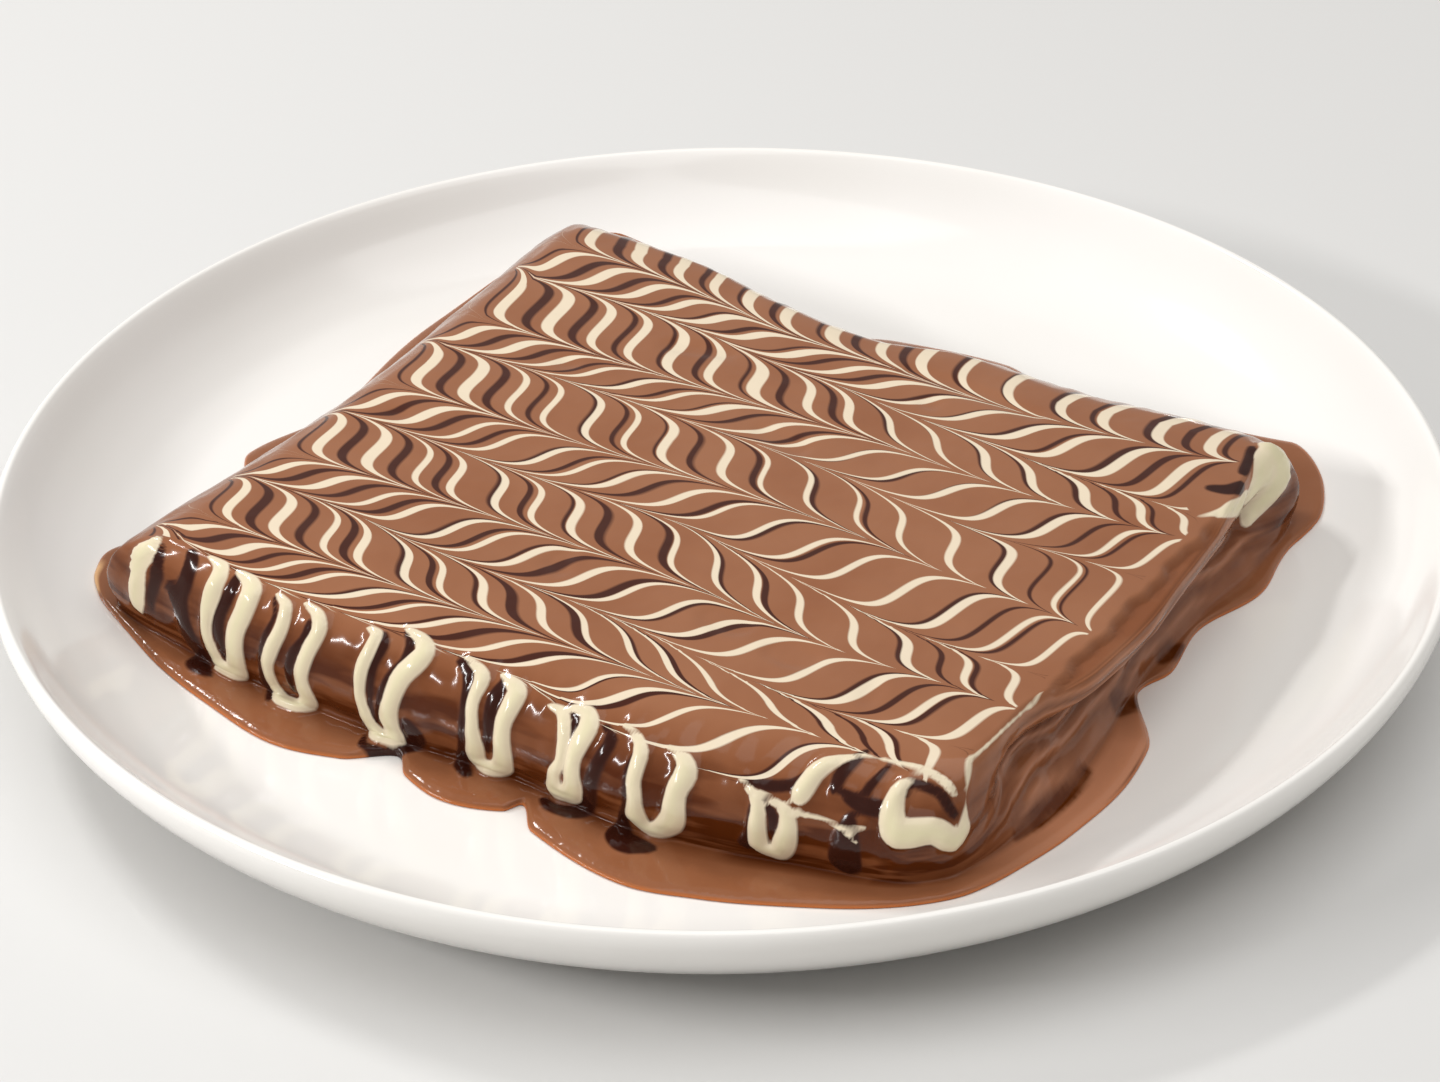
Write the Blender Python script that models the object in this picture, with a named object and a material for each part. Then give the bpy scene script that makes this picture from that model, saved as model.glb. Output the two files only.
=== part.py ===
"""A folded crepe under a chocolate coat, served on a round coupe plate.

Sizes are in millimetres, and MM turns them into Blender's metres. The origin is
on the table under the plate's centre. The crepe's length runs along X, its front
long side faces -Y, and +Z is up.
"""
import math

import bmesh
import bpy
import numpy as np

MM = 0.001

# Driving sizes of the plate
PLATE_RADIUS = 135.8
PLATE_HEIGHT = 24.8
WELL_Z = 7.0
FOOT_RADIUS = 82.0
WALL_TOP, WALL_LEAN = 22.5, 14.0
PLATE_STEPS = 72

# Driving sizes of the folded crepe and its coat
TOP_Z = 30.0
COAT = 1.8
GAP = 0.3
CREPE_GAP = 0.9
CREPE_BASE_SHARE = 0.4
POOL_DEPTH = 1.5
EDGE_DROP = 0.5
SIDE_BULGE = 1.6
CORNER_CUT, CORNER_SHARPNESS = 0.035, 14
CORNER_TURN = 0.08
GRID_ALONG, GRID_ACROSS = 30, 22

# Size of a white chocolate drip: half its width, and how far it stands out
DRIP_HALF_WIDTH = 2.1
DRIP_RELIEF = 1.3
DRIP_SIDES, DRIP_STATIONS = 8, 7

# The plate's inner profile, as radius and height
PLATE_INSIDE = [(0, WELL_Z), (95, WELL_Z), (108, 7.6), (116, 9.2), (122, 12.2), (128, 17.2), (133.6, 24.4)]

# The top's four edges seen from above, each from its first corner to its last
FRONT_LEFT, FRONT_RIGHT = (-71.3, -76.5), (86.7, -58.0)
BACK_RIGHT, BACK_LEFT = (82.8, 55.6), (-73.0, 59.6)
FRONT = [FRONT_LEFT, FRONT_RIGHT]
RIGHT = [FRONT_RIGHT, (85.8, -42), (90.2, -22), (90.9, -6), (89.5, 12), (87.9, 30), BACK_RIGHT]
BACK = [BACK_RIGHT, (62, 53.6), (43, 50.2), (19, 54), (1, 49.8), (-26, 53.4), (-44, 58.6), BACK_LEFT]
LEFT = [BACK_LEFT, (-69.2, 38), (-68.4, 10), (-67.6, -25), (-68, -56), FRONT_LEFT]

# Where the side meets the pool. The first number is the place around the crepe:
# 0 front left corner, 1 front right, 2 back right, 3 back left.
BASE = [
    (0.00, -85, -74.5), (0.05, -66, -78.2), (0.13, -51, -80.2), (0.29, -25, -81.3), (0.50, 8, -79.8),
    (0.65, 31, -81.3), (0.77, 51, -78), (0.86, 64, -74.5), (0.95, 79, -71), (1.00, 86.5, -64.5),
    (1.06, 89.5, -54), (1.20, 91.5, -38), (1.35, 90, -20), (1.50, 87, -3), (1.62, 86, 10),
    (1.75, 86, 27), (1.88, 87.5, 44), (1.97, 87.5, 57), (2.00, 87, 63), (2.05, 80, 67),
    (2.40, 20, 64), (2.55, -3, 60), (2.75, -34, 65), (2.95, -70, 71), (3.00, -82, 72),
    (3.06, -84, 62), (3.50, -80, -7), (3.75, -82, -41), (3.92, -84.5, -62),
]

# The lobed edge of the pool, read the same way
POOL = [
    (0.00, -90.5, -73.5), (0.03, -80, -78.5), (0.08, -67.5, -84), (0.13, -55.5, -87.7), (0.23, -36.5, -91.6),
    (0.31, -23.5, -88.8), (0.355, -15, -83), (0.39, -10.5, -87), (0.45, -1, -89.6), (0.52, 10, -86.5),
    (0.535, 11.8, -83.3), (0.57, 17.5, -88.8), (0.70, 39, -93.2), (0.79, 52.6, -89.8), (0.89, 68, -83.2),
    (0.97, 82.5, -75), (1.01, 90.5, -66.5), (1.06, 94, -56), (1.16, 97, -42), (1.28, 98.3, -27),
    (1.38, 96.5, -13), (1.505, 86.8, 2.7), (1.60, 89, 11), (1.70, 87, 24.5), (1.85, 91.5, 43),
    (1.965, 89.5, 58.4),
    (2.00, 90.5, 68), (2.03, 86, 79.6), (2.07, 74, 90), (2.13, 62, 90.5), (2.35, 28, 84),
    (2.44, 10, 90.8), (2.58, -14, 87.5), (2.70, -32, 80), (2.94, -72, 91), (2.98, -82, 89.5),
    (3.02, -92, 79), (3.10, -97.5, 60), (3.18, -99, 39), (3.42, -95.5, 5), (3.60, -100.3, -16.5),
    (3.66, -95.8, -25), (3.80, -95, -45), (3.90, -99, -60), (3.96, -96, -68),
]

# The pool from the crepe's side to its edge and round under it: share of the way, and height
POOL_RINGS = [(0.15, POOL_DEPTH), (0.5, POOL_DEPTH), (0.93, POOL_DEPTH - 0.3), (1.0, 0.7), (0.97, GAP)]

# The open end on the right: how far out the lower layer lies, and how deep the
# groove between the two layers goes in from the top's edge
RIDGE_X = [(1.0, 88), (1.1, 88.5), (1.25, 87), (1.5, 85.5), (1.75, 83.9), (2.0, 86)]
GROOVE = [(1.0, 0), (1.1, 1.5), (1.25, 4.5), (1.4, 7.5), (1.55, 8.5), (1.75, 7.5), (1.9, 5), (2.0, 0)]

# A rounded side from its top edge down: share of the way out, of the height, and of the bulge
ROUND_OUT = [0, 0.20, 0.45, 0.72, 0.92, 1, 1, 0.99, 1]
ROUND_HEIGHT = [1, 0.985, 0.91, 0.76, 0.55, 0.36, 0.2, 0.08, 0]
ROUND_BULGE = [0, 0.3, 0.6, 0.9, 1, 0.9, 0.6, 0.2, 0]
# The open end from its top edge down: heights of the slab, the groove and the lower layer
SLAB_Z = [TOP_Z - EDGE_DROP, 28.9, 26.4, 23.4, 21.2, 18.8, 16.2, 13.0]
SLAB_SHARE = [0, 0.05, 0.1, 0.2, 0.35, 0.5, 0.65, 0.85, 1]
RINGS = len(ROUND_OUT) - 1
# Which way the coat's inner face lies from its outer face at each of those rings: inward, down
ROUND_INSET = [(0.15, 1), (0.3, 0.95), (0.6, 0.8), (0.85, 0.5), (1, 0.2), (1, 0), (1, 0), (1, 0), (1, 0)]
SLAB_INSET = [(0.4, 1), (0.8, 1), (1, 0.3), (1, -0.5), (1, -0.3), (1, 0.3), (1, 0.4), (1, 0.1), (1, 0)]

# White chocolate drips on the front side: place of the left arm, of the right arm,
# of the bottom, and the ring that the bottom reaches
DRIPS = [
    (0.076, 0.124, 0.104, 7.7), (0.175, 0.224, 0.203, 7.8), (0.301, 0.358, 0.334, 7.9),
    (0.446, 0.489, 0.464, 7.7), (0.562, 0.594, 0.568, 7.5), (0.667, 0.715, 0.690, 7.4),
    (0.801, 0.838, 0.820, 7.5),
]
DRIP_TOP_RING = 2.0
ARM_SPREAD = 0.006


def between(x, places, values):
    """A smooth curve through the values, with no overshoot between them."""
    places = np.asarray(places, float)
    values = np.asarray(values, float)
    steps = np.diff(values) / np.diff(places)
    slope = np.zeros(len(places))
    slope[0], slope[-1] = steps[0], steps[-1]
    product = steps[:-1] * steps[1:]
    rising = product > 0
    slope[1:-1][rising] = 2 * product[rising] / (steps[:-1] + steps[1:])[rising]
    i = int(np.clip(np.searchsorted(places, x, side="right") - 1, 0, len(places) - 2))
    width = places[i + 1] - places[i]
    t = (x - places[i]) / width
    start = (1 + 2 * t) * (1 - t) ** 2 * values[i] + t * (1 - t) ** 2 * width * slope[i]
    end = t * t * (3 - 2 * t) * values[i + 1] + t * t * (t - 1) * width * slope[i + 1]
    return start + end


def outline_point(table, place):
    """The point of a closed outline at a place around the crepe, 0 to 4."""
    rows = [(p - 4, x, y) for p, x, y in table[-3:]] + table + [(p + 4, x, y) for p, x, y in table[:3]]
    places = [row[0] for row in rows]
    return np.array([between(place % 4, places, [row[axis] for row in rows]) for axis in (1, 2)])


def edge_point(points, share):
    """The point at a share of the way along one of the top's edges."""
    points = np.array(points, float)
    lengths = np.hypot(*np.diff(points, axis=0).T)
    along = np.concatenate([[0], np.cumsum(lengths)]) / lengths.sum()
    return np.array([between(share, along, points[:, axis]) for axis in (0, 1)])


def top_point(u, v):
    """The top face's plan point for u from left to right and v from front to back, both -1 to 1."""
    s = (u * (1 - CORNER_CUT * abs(v) ** CORNER_SHARPNESS) + 1) / 2
    t = (v * (1 - CORNER_CUT * abs(u) ** CORNER_SHARPNESS) + 1) / 2
    across = (1 - t) * edge_point(FRONT, s) + t * edge_point(BACK, 1 - s)
    along = (1 - s) * edge_point(LEFT, 1 - t) + s * edge_point(RIGHT, t)
    corners = (
        (1 - s) * (1 - t) * np.array(FRONT_LEFT)
        + s * (1 - t) * np.array(FRONT_RIGHT)
        + s * t * np.array(BACK_RIGHT)
        + (1 - s) * t * np.array(BACK_LEFT)
    )
    return across + along - corners


def place_of(u, v):
    """The place around the crepe, 0 to 4, of a point on the top grid's border."""
    if v < -0.9999:
        return (u + 1) / 2
    if u > 0.9999:
        return 1 + (v + 1) / 2
    if v > 0.9999:
        return 2 + (1 - u) / 2
    return 3 + (1 - v) / 2


def border_of(place):
    """The top grid's border point at a place around the crepe."""
    place %= 4
    side = int(place)
    run = 2 * (place - side) - 1
    return [(run, -1), (1, run), (-run, 1), (-1, -run)][side]


def outward(place):
    """The direction that the side faces, turning through each corner."""
    nearest = math.floor(place + 0.5)
    angle = math.radians(90 * nearest - 135 + 45 * np.clip((place - nearest) / CORNER_TURN, -1, 1))
    return np.array([math.cos(angle), math.sin(angle)])


def plate_z(x, y):
    """The height of the plate's glaze."""
    return between(math.hypot(x, y), *zip(*PLATE_INSIDE))


def slab_share(place):
    """1 along the open right end, fading to 0 at its two corners."""
    return float(np.interp(place % 4, [1.0, 1.1, 1.9, 2.0], [0, 1, 1, 0]))


def side_point(place, ring, inset=0.0):
    """A point of the side: ring 0 is the top's edge and the last ring meets the pool.
    The inset moves it into the coat."""
    top = top_point(*border_of(place))
    base = outline_point(BASE, place)
    base_z = plate_z(*base) + POOL_DEPTH + 0.4
    rings = range(RINGS + 1)
    height = base_z + np.interp(ring, rings, ROUND_HEIGHT) * (TOP_Z - EDGE_DROP - base_z)
    bulge = SIDE_BULGE * np.interp(ring, rings, ROUND_BULGE) * outward(place)
    rounded = np.array([*(top + np.interp(ring, rings, ROUND_OUT) * (base - top) + bulge), height])
    near = float(np.clip(place % 4, 1, 2))
    ridge = between(near, *zip(*RIDGE_X)) - top[0]
    groove = between(near, *zip(*GROOVE))
    reach = [0, 0.7, 1.1, 0.2, -groove, 0.6 - groove, ridge - 0.8, ridge + 0.6, base[0] - top[0]]
    slab_x = top[0] + np.interp(ring, rings, reach)
    slab_y = top[1] + np.interp(ring, rings, SLAB_SHARE) * (base[1] - top[1])
    slab = np.array([slab_x, slab_y, np.interp(ring, rings, SLAB_Z + [base_z])])
    share = slab_share(place)
    point = (1 - share) * rounded + share * slab
    insets = (1 - share) * np.array(ROUND_INSET) + share * np.array(SLAB_INSET)
    point[:2] -= inset * np.interp(ring, rings, insets[:, 0]) * outward(place)
    point[2] -= inset * np.interp(ring, rings, insets[:, 1])
    return point


def pool_point(place, share, lift, inset=0.0):
    """A point of the pool: share 0 is under the crepe's side and 1 is the pool's edge."""
    base = outline_point(BASE, place) - inset * outward(place)
    plan = base + share * (outline_point(POOL, place) - base)
    return np.array([*plan, plate_z(*plan) + lift])


def base_point(place, share, inset):
    """A point of the crepe's underside, which follows the plate: share 1 is its rim and 0 its middle."""
    plan = (outline_point(BASE, place) - inset * outward(place)) * share
    return np.array([*plan, plate_z(*plan) + GAP])


def top_z(u, v):
    """The coat's height: nearly level, with soft hollows and a rounded edge."""
    rim = max(abs(u), abs(v)) ** 8
    hollows = 0.22 * math.sin(5.1 * u + 1.3) * math.cos(4.3 * v + 0.4) + 0.15 * math.sin(9.7 * u * v + 2.0)
    return TOP_Z - EDGE_DROP * rim + hollows * (1 - rim)


def material(name, colour, roughness):
    """A Principled material, with its colour as linear red, green and blue."""
    made = bpy.data.materials.new(name)
    made.use_nodes = True
    shader = made.node_tree.nodes["Principled BSDF"]
    shader.inputs["Base Color"].default_value = (*colour, 1)
    shader.inputs["Roughness"].default_value = roughness
    made.diffuse_color = (*colour, 1)
    return made


def finish(bm, name, made_of):
    """The bmesh as an object in the scene."""
    bmesh.ops.recalc_face_normals(bm, faces=bm.faces)
    mesh = bpy.data.meshes.new(name)
    bm.to_mesh(mesh)
    bm.free()
    mesh.materials.append(made_of)
    mesh.shade_smooth()
    thing = bpy.data.objects.new(name, mesh)
    bpy.context.collection.objects.link(thing)
    return thing


def bordered_grid(bm):
    """The top grid. Each of its points keeps its own u and v, which extruded points copy."""
    bmesh.ops.create_grid(bm, x_segments=GRID_ALONG, y_segments=GRID_ACROSS, size=1)
    along = bm.verts.layers.float.new("u")
    across = bm.verts.layers.float.new("v")
    for vert in bm.verts:
        vert[along], vert[across] = vert.co.x, vert.co.y
    return along, across


def extrude_ring(bm, edges, along, across, put):
    """The next ring outward from a border, placed by put(place). Returns its edges."""
    made = bmesh.ops.extrude_edge_only(bm, edges=edges)["geom"]
    for vert in made:
        if isinstance(vert, bmesh.types.BMVert):
            vert.co = put(place_of(vert[along], vert[across])) * MM
    return [edge for edge in made if isinstance(edge, bmesh.types.BMEdge) and edge.is_boundary]


def build_plate():
    """The coupe plate: a profile turned about Z."""
    slope = [(z, ((WALL_TOP - z) / (WALL_TOP - 6)) ** 1.6) for z in (20.5, 17, 13, 9, 6)]
    wall = [(PLATE_RADIUS - WALL_LEAN * share, z) for z, share in slope]
    rim = [(133.6, 24.4), (134.3, PLATE_HEIGHT), (135.3, 24.1), (PLATE_RADIUS, 23)]
    under = [(105, 4.6), (88, 4.3), (FOOT_RADIUS + 2.5, 4.0), (FOOT_RADIUS, 0)]
    foot = [(FOOT_RADIUS - 2.4, 0), (FOOT_RADIUS - 4.5, 4.0), (0, 4.0)]
    bm = bmesh.new()
    verts = [bm.verts.new((r * MM, 0, z * MM)) for r, z in PLATE_INSIDE[:-1] + rim + wall + under + foot]
    edges = [bm.edges.new(pair) for pair in zip(verts, verts[1:])]
    bmesh.ops.spin(
        bm, geom=verts + edges, cent=(0, 0, 0), axis=(0, 0, 1), angle=2 * math.pi,
        steps=PLATE_STEPS, use_merge=True, use_duplicate=False,
    )
    bmesh.ops.remove_doubles(bm, verts=bm.verts, dist=1e-6)
    return finish(bm, "plate", material("white glaze", (0.80, 0.79, 0.76), 0.12))


def build_crepe():
    """The folded crepe: a flat top, sides with the fold's groove, and a base that follows the plate."""
    inset = COAT + CREPE_GAP
    counts = (GRID_ALONG, GRID_ACROSS, GRID_ALONG, GRID_ACROSS)
    places = [side + step / count for side, count in enumerate(counts) for step in range(count)]
    bm = bmesh.new()
    bmesh.ops.create_circle(bm, segments=len(places), radius=1)
    bm.verts.ensure_lookup_table()
    along = bm.verts.layers.float.new("u")
    across = bm.verts.layers.float.new("v")
    for vert, place in zip(bm.verts, places):
        vert[along], vert[across] = border_of(place)
        vert.co = side_point(place, 0, inset) * MM
    border = list(bm.edges)
    bmesh.ops.edgeloop_fill(bm, edges=border)
    for ring in range(1, RINGS):
        border = extrude_ring(bm, border, along, across, lambda place: side_point(place, ring, inset))
    for share in (1, CREPE_BASE_SHARE):
        border = extrude_ring(bm, border, along, across, lambda place: base_point(place, share, inset))
    bmesh.ops.edgeloop_fill(bm, edges=border)
    return finish(bm, "crepe", material("golden crepe", (0.52, 0.27, 0.09), 0.6))


def build_coat():
    """The chocolate: a shell over the crepe, running out into the pool on the plate."""
    bm = bmesh.new()
    along, across = bordered_grid(bm)
    for vert in bm.verts:
        u, v = vert[along], vert[across]
        vert.co = np.array([*top_point(u, v), top_z(u, v)]) * MM
    border = [edge for edge in bm.edges if edge.is_boundary]
    for ring in range(1, RINGS + 1):
        border = extrude_ring(bm, border, along, across, lambda place: side_point(place, ring))
    for share, lift in POOL_RINGS:
        border = extrude_ring(bm, border, along, across, lambda place: pool_point(place, share, lift))
    for share in (0.5, 0):
        border = extrude_ring(bm, border, along, across, lambda place: pool_point(place, share, GAP, COAT))
    for ring in range(RINGS - 1, -1, -1):
        border = extrude_ring(bm, border, along, across, lambda place: side_point(place, ring, COAT))
    bmesh.ops.edgeloop_fill(bm, edges=border)
    coat = finish(bm, "chocolate_coat", material("milk chocolate", (0.30, 0.11, 0.055), 0.15))
    white = material("white chocolate", (0.75, 0.66, 0.45), 0.2)
    arms = []
    for number, (left, right, bottom, bottom_ring) in enumerate(DRIPS):
        arms.append(build_arm(f"left_arm_{number}", left, bottom - ARM_SPREAD, bottom_ring, white))
        arms.append(build_arm(f"right_arm_{number}", right, bottom + ARM_SPREAD, bottom_ring, white))
    fuse(coat, arms)
    return coat


def build_arm(name, top_place, bottom_place, bottom_ring, made_of):
    """One arm of a white chocolate drip: a flat tube down the side, thicker at its foot."""
    bm = bmesh.new()
    rings = []
    for step in range(DRIP_STATIONS):
        t = step / (DRIP_STATIONS - 1)
        place = top_place + (bottom_place - top_place) * t ** 3
        ring = DRIP_TOP_RING + (bottom_ring - DRIP_TOP_RING) * t
        centre = side_point(place, ring)
        aside = side_point(place + 0.01, ring) - side_point(place - 0.01, ring)
        upward = side_point(place, ring - 0.3) - side_point(place, ring + 0.3)
        facing = np.cross(aside, upward)
        aside /= np.linalg.norm(aside)
        facing /= np.linalg.norm(facing)
        loop = []
        for side in range(DRIP_SIDES):
            angle = 2 * math.pi * side / DRIP_SIDES
            offset = DRIP_HALF_WIDTH * math.cos(angle) * aside + DRIP_RELIEF * math.sin(angle) * facing
            loop.append(bm.verts.new((centre + offset) * MM))
        rings.append([bm.edges.new((loop[i - 1], loop[i])) for i in range(DRIP_SIDES)])
    for first, second in zip(rings, rings[1:]):
        bmesh.ops.bridge_loops(bm, edges=first + second)
    for ring in (rings[0], rings[-1]):
        bmesh.ops.edgeloop_fill(bm, edges=ring)
    return finish(bm, name, made_of)


def fuse(body, pieces):
    """Unites all the pieces with a body in one Boolean, applies it and removes the pieces."""
    group = bpy.data.collections.new("pieces")
    bpy.context.scene.collection.children.link(group)
    for piece in pieces:
        bpy.context.collection.objects.unlink(piece)
        group.objects.link(piece)
    union = body.modifiers.new("union", "BOOLEAN")
    union.operation = "UNION"
    union.operand_type = "COLLECTION"
    union.collection = group
    union.solver = "EXACT"
    bpy.context.view_layer.update()
    graph = bpy.context.evaluated_depsgraph_get()
    fused = bpy.data.meshes.new_from_object(body.evaluated_get(graph))
    body.modifiers.remove(union)
    body.data = fused
    for piece in pieces:
        bpy.data.objects.remove(piece, do_unlink=True)
    bpy.data.collections.remove(group)


for thing in list(bpy.data.objects):
    bpy.data.objects.remove(thing, do_unlink=True)
build_plate()
build_crepe()
build_coat()
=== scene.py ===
# %% [markdown]
# # A folded crepe under feathered chocolate, on its plate
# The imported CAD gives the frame: a coupe plate, a folded crepe and its chocolate coat. This script
# gives them their looks. The plate is turned again with a finer profile. The coat is one closed
# skin over the crepe, from a fine grid whose border is drawn down the sides and out into the pool.
# The white and dark lines and their feathering are a pattern in the material, read from numbers
# that each point of the coat carries.

import math

import bmesh
import bpy
import numpy as np
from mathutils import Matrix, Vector


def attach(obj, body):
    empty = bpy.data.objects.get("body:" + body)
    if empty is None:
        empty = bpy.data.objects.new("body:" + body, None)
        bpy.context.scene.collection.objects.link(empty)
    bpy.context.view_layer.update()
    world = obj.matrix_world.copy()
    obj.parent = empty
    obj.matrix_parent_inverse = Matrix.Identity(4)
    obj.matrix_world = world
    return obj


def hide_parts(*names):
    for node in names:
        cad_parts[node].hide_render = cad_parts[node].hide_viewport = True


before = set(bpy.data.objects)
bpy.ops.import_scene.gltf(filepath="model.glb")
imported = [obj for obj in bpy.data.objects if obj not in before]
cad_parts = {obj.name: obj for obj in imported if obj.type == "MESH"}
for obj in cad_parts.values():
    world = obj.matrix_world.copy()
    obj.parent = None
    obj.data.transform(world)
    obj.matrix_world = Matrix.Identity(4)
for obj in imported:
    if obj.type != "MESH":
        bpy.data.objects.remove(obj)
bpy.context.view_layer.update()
MM = 0.001
print("loaded", sorted(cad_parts))

# %% [markdown]
# ## The shape's tables
# The crepe is described by a few curves in millimetres: four edges of its top, the line where its
# sides meet the pool, and the pool's lobed edge. A place from 0 to 4 runs around the crepe, from
# the front left corner. The same tables drive the CAD, so both shapes agree.

# %% Tables of the crepe and plate
TOP_Z, COAT, GAP, POOL_DEPTH, EDGE_DROP, SIDE_BULGE = 30.0, 1.8, 0.3, 1.5, 0.5, 1.6
CORNER_CUT, CORNER_SHARPNESS, CORNER_TURN = 0.035, 14, 0.08
PLATE_INSIDE = [(0, 7.0), (95, 7.0), (108, 7.6), (116, 9.2), (122, 12.2), (128, 17.2), (133.6, 24.4)]
FRONT_LEFT, FRONT_RIGHT = (-71.3, -76.5), (86.7, -58.0)
BACK_RIGHT, BACK_LEFT = (82.8, 55.6), (-73.0, 59.6)
FRONT = [FRONT_LEFT, FRONT_RIGHT]
RIGHT = [FRONT_RIGHT, (85.8, -42), (90.2, -22), (90.9, -6), (89.5, 12), (87.9, 30), BACK_RIGHT]
BACK = [BACK_RIGHT, (62, 53.6), (43, 50.2), (19, 54), (1, 49.8), (-26, 53.4), (-44, 58.6), BACK_LEFT]
LEFT = [BACK_LEFT, (-69.2, 38), (-68.4, 10), (-67.6, -25), (-68, -56), FRONT_LEFT]
BASE = [
    (0.0, -85, -74.5), (0.05, -66, -78.2), (0.13, -51, -80.2), (0.29, -25, -81.3), (0.5, 8, -79.8),
    (0.65, 31, -81.3), (0.77, 51, -78), (0.86, 64, -74.5), (0.95, 79, -71), (1.0, 86.5, -64.5),
    (1.06, 89.5, -54), (1.2, 91.5, -38), (1.35, 90, -20), (1.5, 87, -3), (1.62, 86, 10),
    (1.75, 86, 27), (1.88, 87.5, 44), (1.97, 87.5, 57), (2.0, 87, 63), (2.05, 80, 67),
    (2.4, 20, 64), (2.55, -3, 60), (2.75, -34, 65), (2.95, -70, 71), (3.0, -82, 72),
    (3.06, -84, 62), (3.5, -80, -7), (3.75, -82, -41), (3.92, -84.5, -62),
]
POOL = [
    (0.0, -90.5, -73.5), (0.03, -80, -78.5), (0.08, -67.5, -84), (0.13, -55.5, -87.7),
    (0.23, -36.5, -91.6), (0.31, -23.5, -88.8), (0.355, -15, -83), (0.39, -10.5, -87),
    (0.45, -1, -89.6), (0.52, 10, -86.5), (0.535, 11.8, -83.3), (0.57, 17.5, -88.8),
    (0.7, 39, -93.2), (0.79, 52.6, -89.8), (0.89, 68, -83.2), (0.97, 82.5, -75),
    (1.01, 90.5, -66.5), (1.06, 94, -56), (1.16, 97, -42), (1.28, 98.3, -27), (1.38, 96.5, -13),
    (1.505, 86.8, 2.7), (1.6, 89, 11), (1.7, 87, 24.5), (1.85, 91.5, 43), (1.965, 89.5, 58.4),
    (2.0, 90.5, 68), (2.03, 86, 79.6), (2.07, 74, 90), (2.13, 62, 90.5), (2.35, 28, 84),
    (2.44, 10, 90.8), (2.58, -14, 87.5), (2.7, -32, 80), (2.94, -72, 91), (2.98, -82, 89.5),
    (3.02, -92, 79), (3.1, -97.5, 60), (3.18, -99, 39), (3.42, -95.5, 5), (3.6, -100.3, -16.5),
    (3.66, -95.8, -25), (3.8, -95, -45), (3.9, -99, -60), (3.96, -96, -68),
]
RIDGE_X = [(1.0, 88), (1.1, 88.5), (1.25, 87), (1.5, 85.5), (1.75, 83.9), (2.0, 86)]
GROOVE = [(1.0, 0), (1.1, 1.5), (1.25, 4.5), (1.4, 7.5), (1.55, 8.5), (1.75, 7.5), (1.9, 5), (2.0, 0)]
ROUND_OUT = [0, 0.20, 0.45, 0.72, 0.92, 1, 1, 0.99, 1]
ROUND_HEIGHT = [1, 0.985, 0.91, 0.76, 0.55, 0.36, 0.2, 0.08, 0]
ROUND_BULGE = [0, 0.3, 0.6, 0.9, 1, 0.9, 0.6, 0.2, 0]
SLAB_Z = [TOP_Z - EDGE_DROP, 28.9, 26.4, 23.4, 21.2, 18.8, 16.2, 13.0]
SLAB_SHARE = [0, 0.05, 0.1, 0.2, 0.35, 0.5, 0.65, 0.85, 1]
ROUND_INSET = [(0.15, 1), (0.3, 0.95), (0.6, 0.8), (0.85, 0.5), (1, 0.2), (1, 0), (1, 0), (1, 0), (1, 0)]
SLAB_INSET = [(0.4, 1), (0.8, 1), (1, 0.3), (1, -0.5), (1, -0.3), (1, 0.3), (1, 0.4), (1, 0.1), (1, 0)]
LAST_RING = 8

# %% [markdown]
# ## Curves through the tables
# One function draws a smooth curve through a table without overshooting, and the others use it to
# find points of the top, the side and the pool. They take whole arrays of places at once, because
# the coat has tens of thousands of points and a loop in Python over each would be slow.

# %% Curves through the tables
def between(x, places, values):
    """A smooth curve through the values, with no overshoot between them."""
    places, values = np.asarray(places, float), np.asarray(values, float)
    steps = np.diff(values) / np.diff(places)
    slope = np.zeros(len(places))
    slope[0], slope[-1] = steps[0], steps[-1]
    product = steps[:-1] * steps[1:]
    rising = product > 0
    slope[1:-1][rising] = 2 * product[rising] / (steps[:-1] + steps[1:])[rising]
    i = np.clip(np.searchsorted(places, x, side="right") - 1, 0, len(places) - 2)
    width = places[i + 1] - places[i]
    t = (x - places[i]) / width
    start = (1 + 2 * t) * (1 - t) ** 2 * values[i] + t * (1 - t) ** 2 * width * slope[i]
    end = t * t * (3 - 2 * t) * values[i + 1] + t * t * (t - 1) * width * slope[i + 1]
    return start + end


def outline(table, place):
    """Points of a closed outline at places around the crepe."""
    before = [(at - 4, x, y) for at, x, y in table[-3:]]
    after = [(at + 4, x, y) for at, x, y in table[:3]]
    rows = np.array(before + table + after)
    return np.stack([between(place % 4, rows[:, 0], rows[:, axis]) for axis in (1, 2)], -1)


def edge_points(points, share):
    """Points at shares of the way along one of the top's edges."""
    points = np.array(points, float)
    lengths = np.hypot(*np.diff(points, axis=0).T)
    along = np.concatenate([[0], np.cumsum(lengths)]) / lengths.sum()
    return np.stack([between(share, along, points[:, axis]) for axis in (0, 1)], -1)


def top_plan(u, v):
    """Plan points of the top for u from left to right and v from front to back."""
    s = (u * (1 - CORNER_CUT * np.abs(v) ** CORNER_SHARPNESS) + 1) / 2
    t = (v * (1 - CORNER_CUT * np.abs(u) ** CORNER_SHARPNESS) + 1) / 2
    across = (1 - t)[:, None] * edge_points(FRONT, s) + t[:, None] * edge_points(BACK, 1 - s)
    along = (1 - s)[:, None] * edge_points(LEFT, 1 - t) + s[:, None] * edge_points(RIGHT, t)
    weights = np.stack([(1 - s) * (1 - t), s * (1 - t), s * t, (1 - s) * t], -1)
    return across + along - weights @ np.array([FRONT_LEFT, FRONT_RIGHT, BACK_RIGHT, BACK_LEFT])


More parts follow.
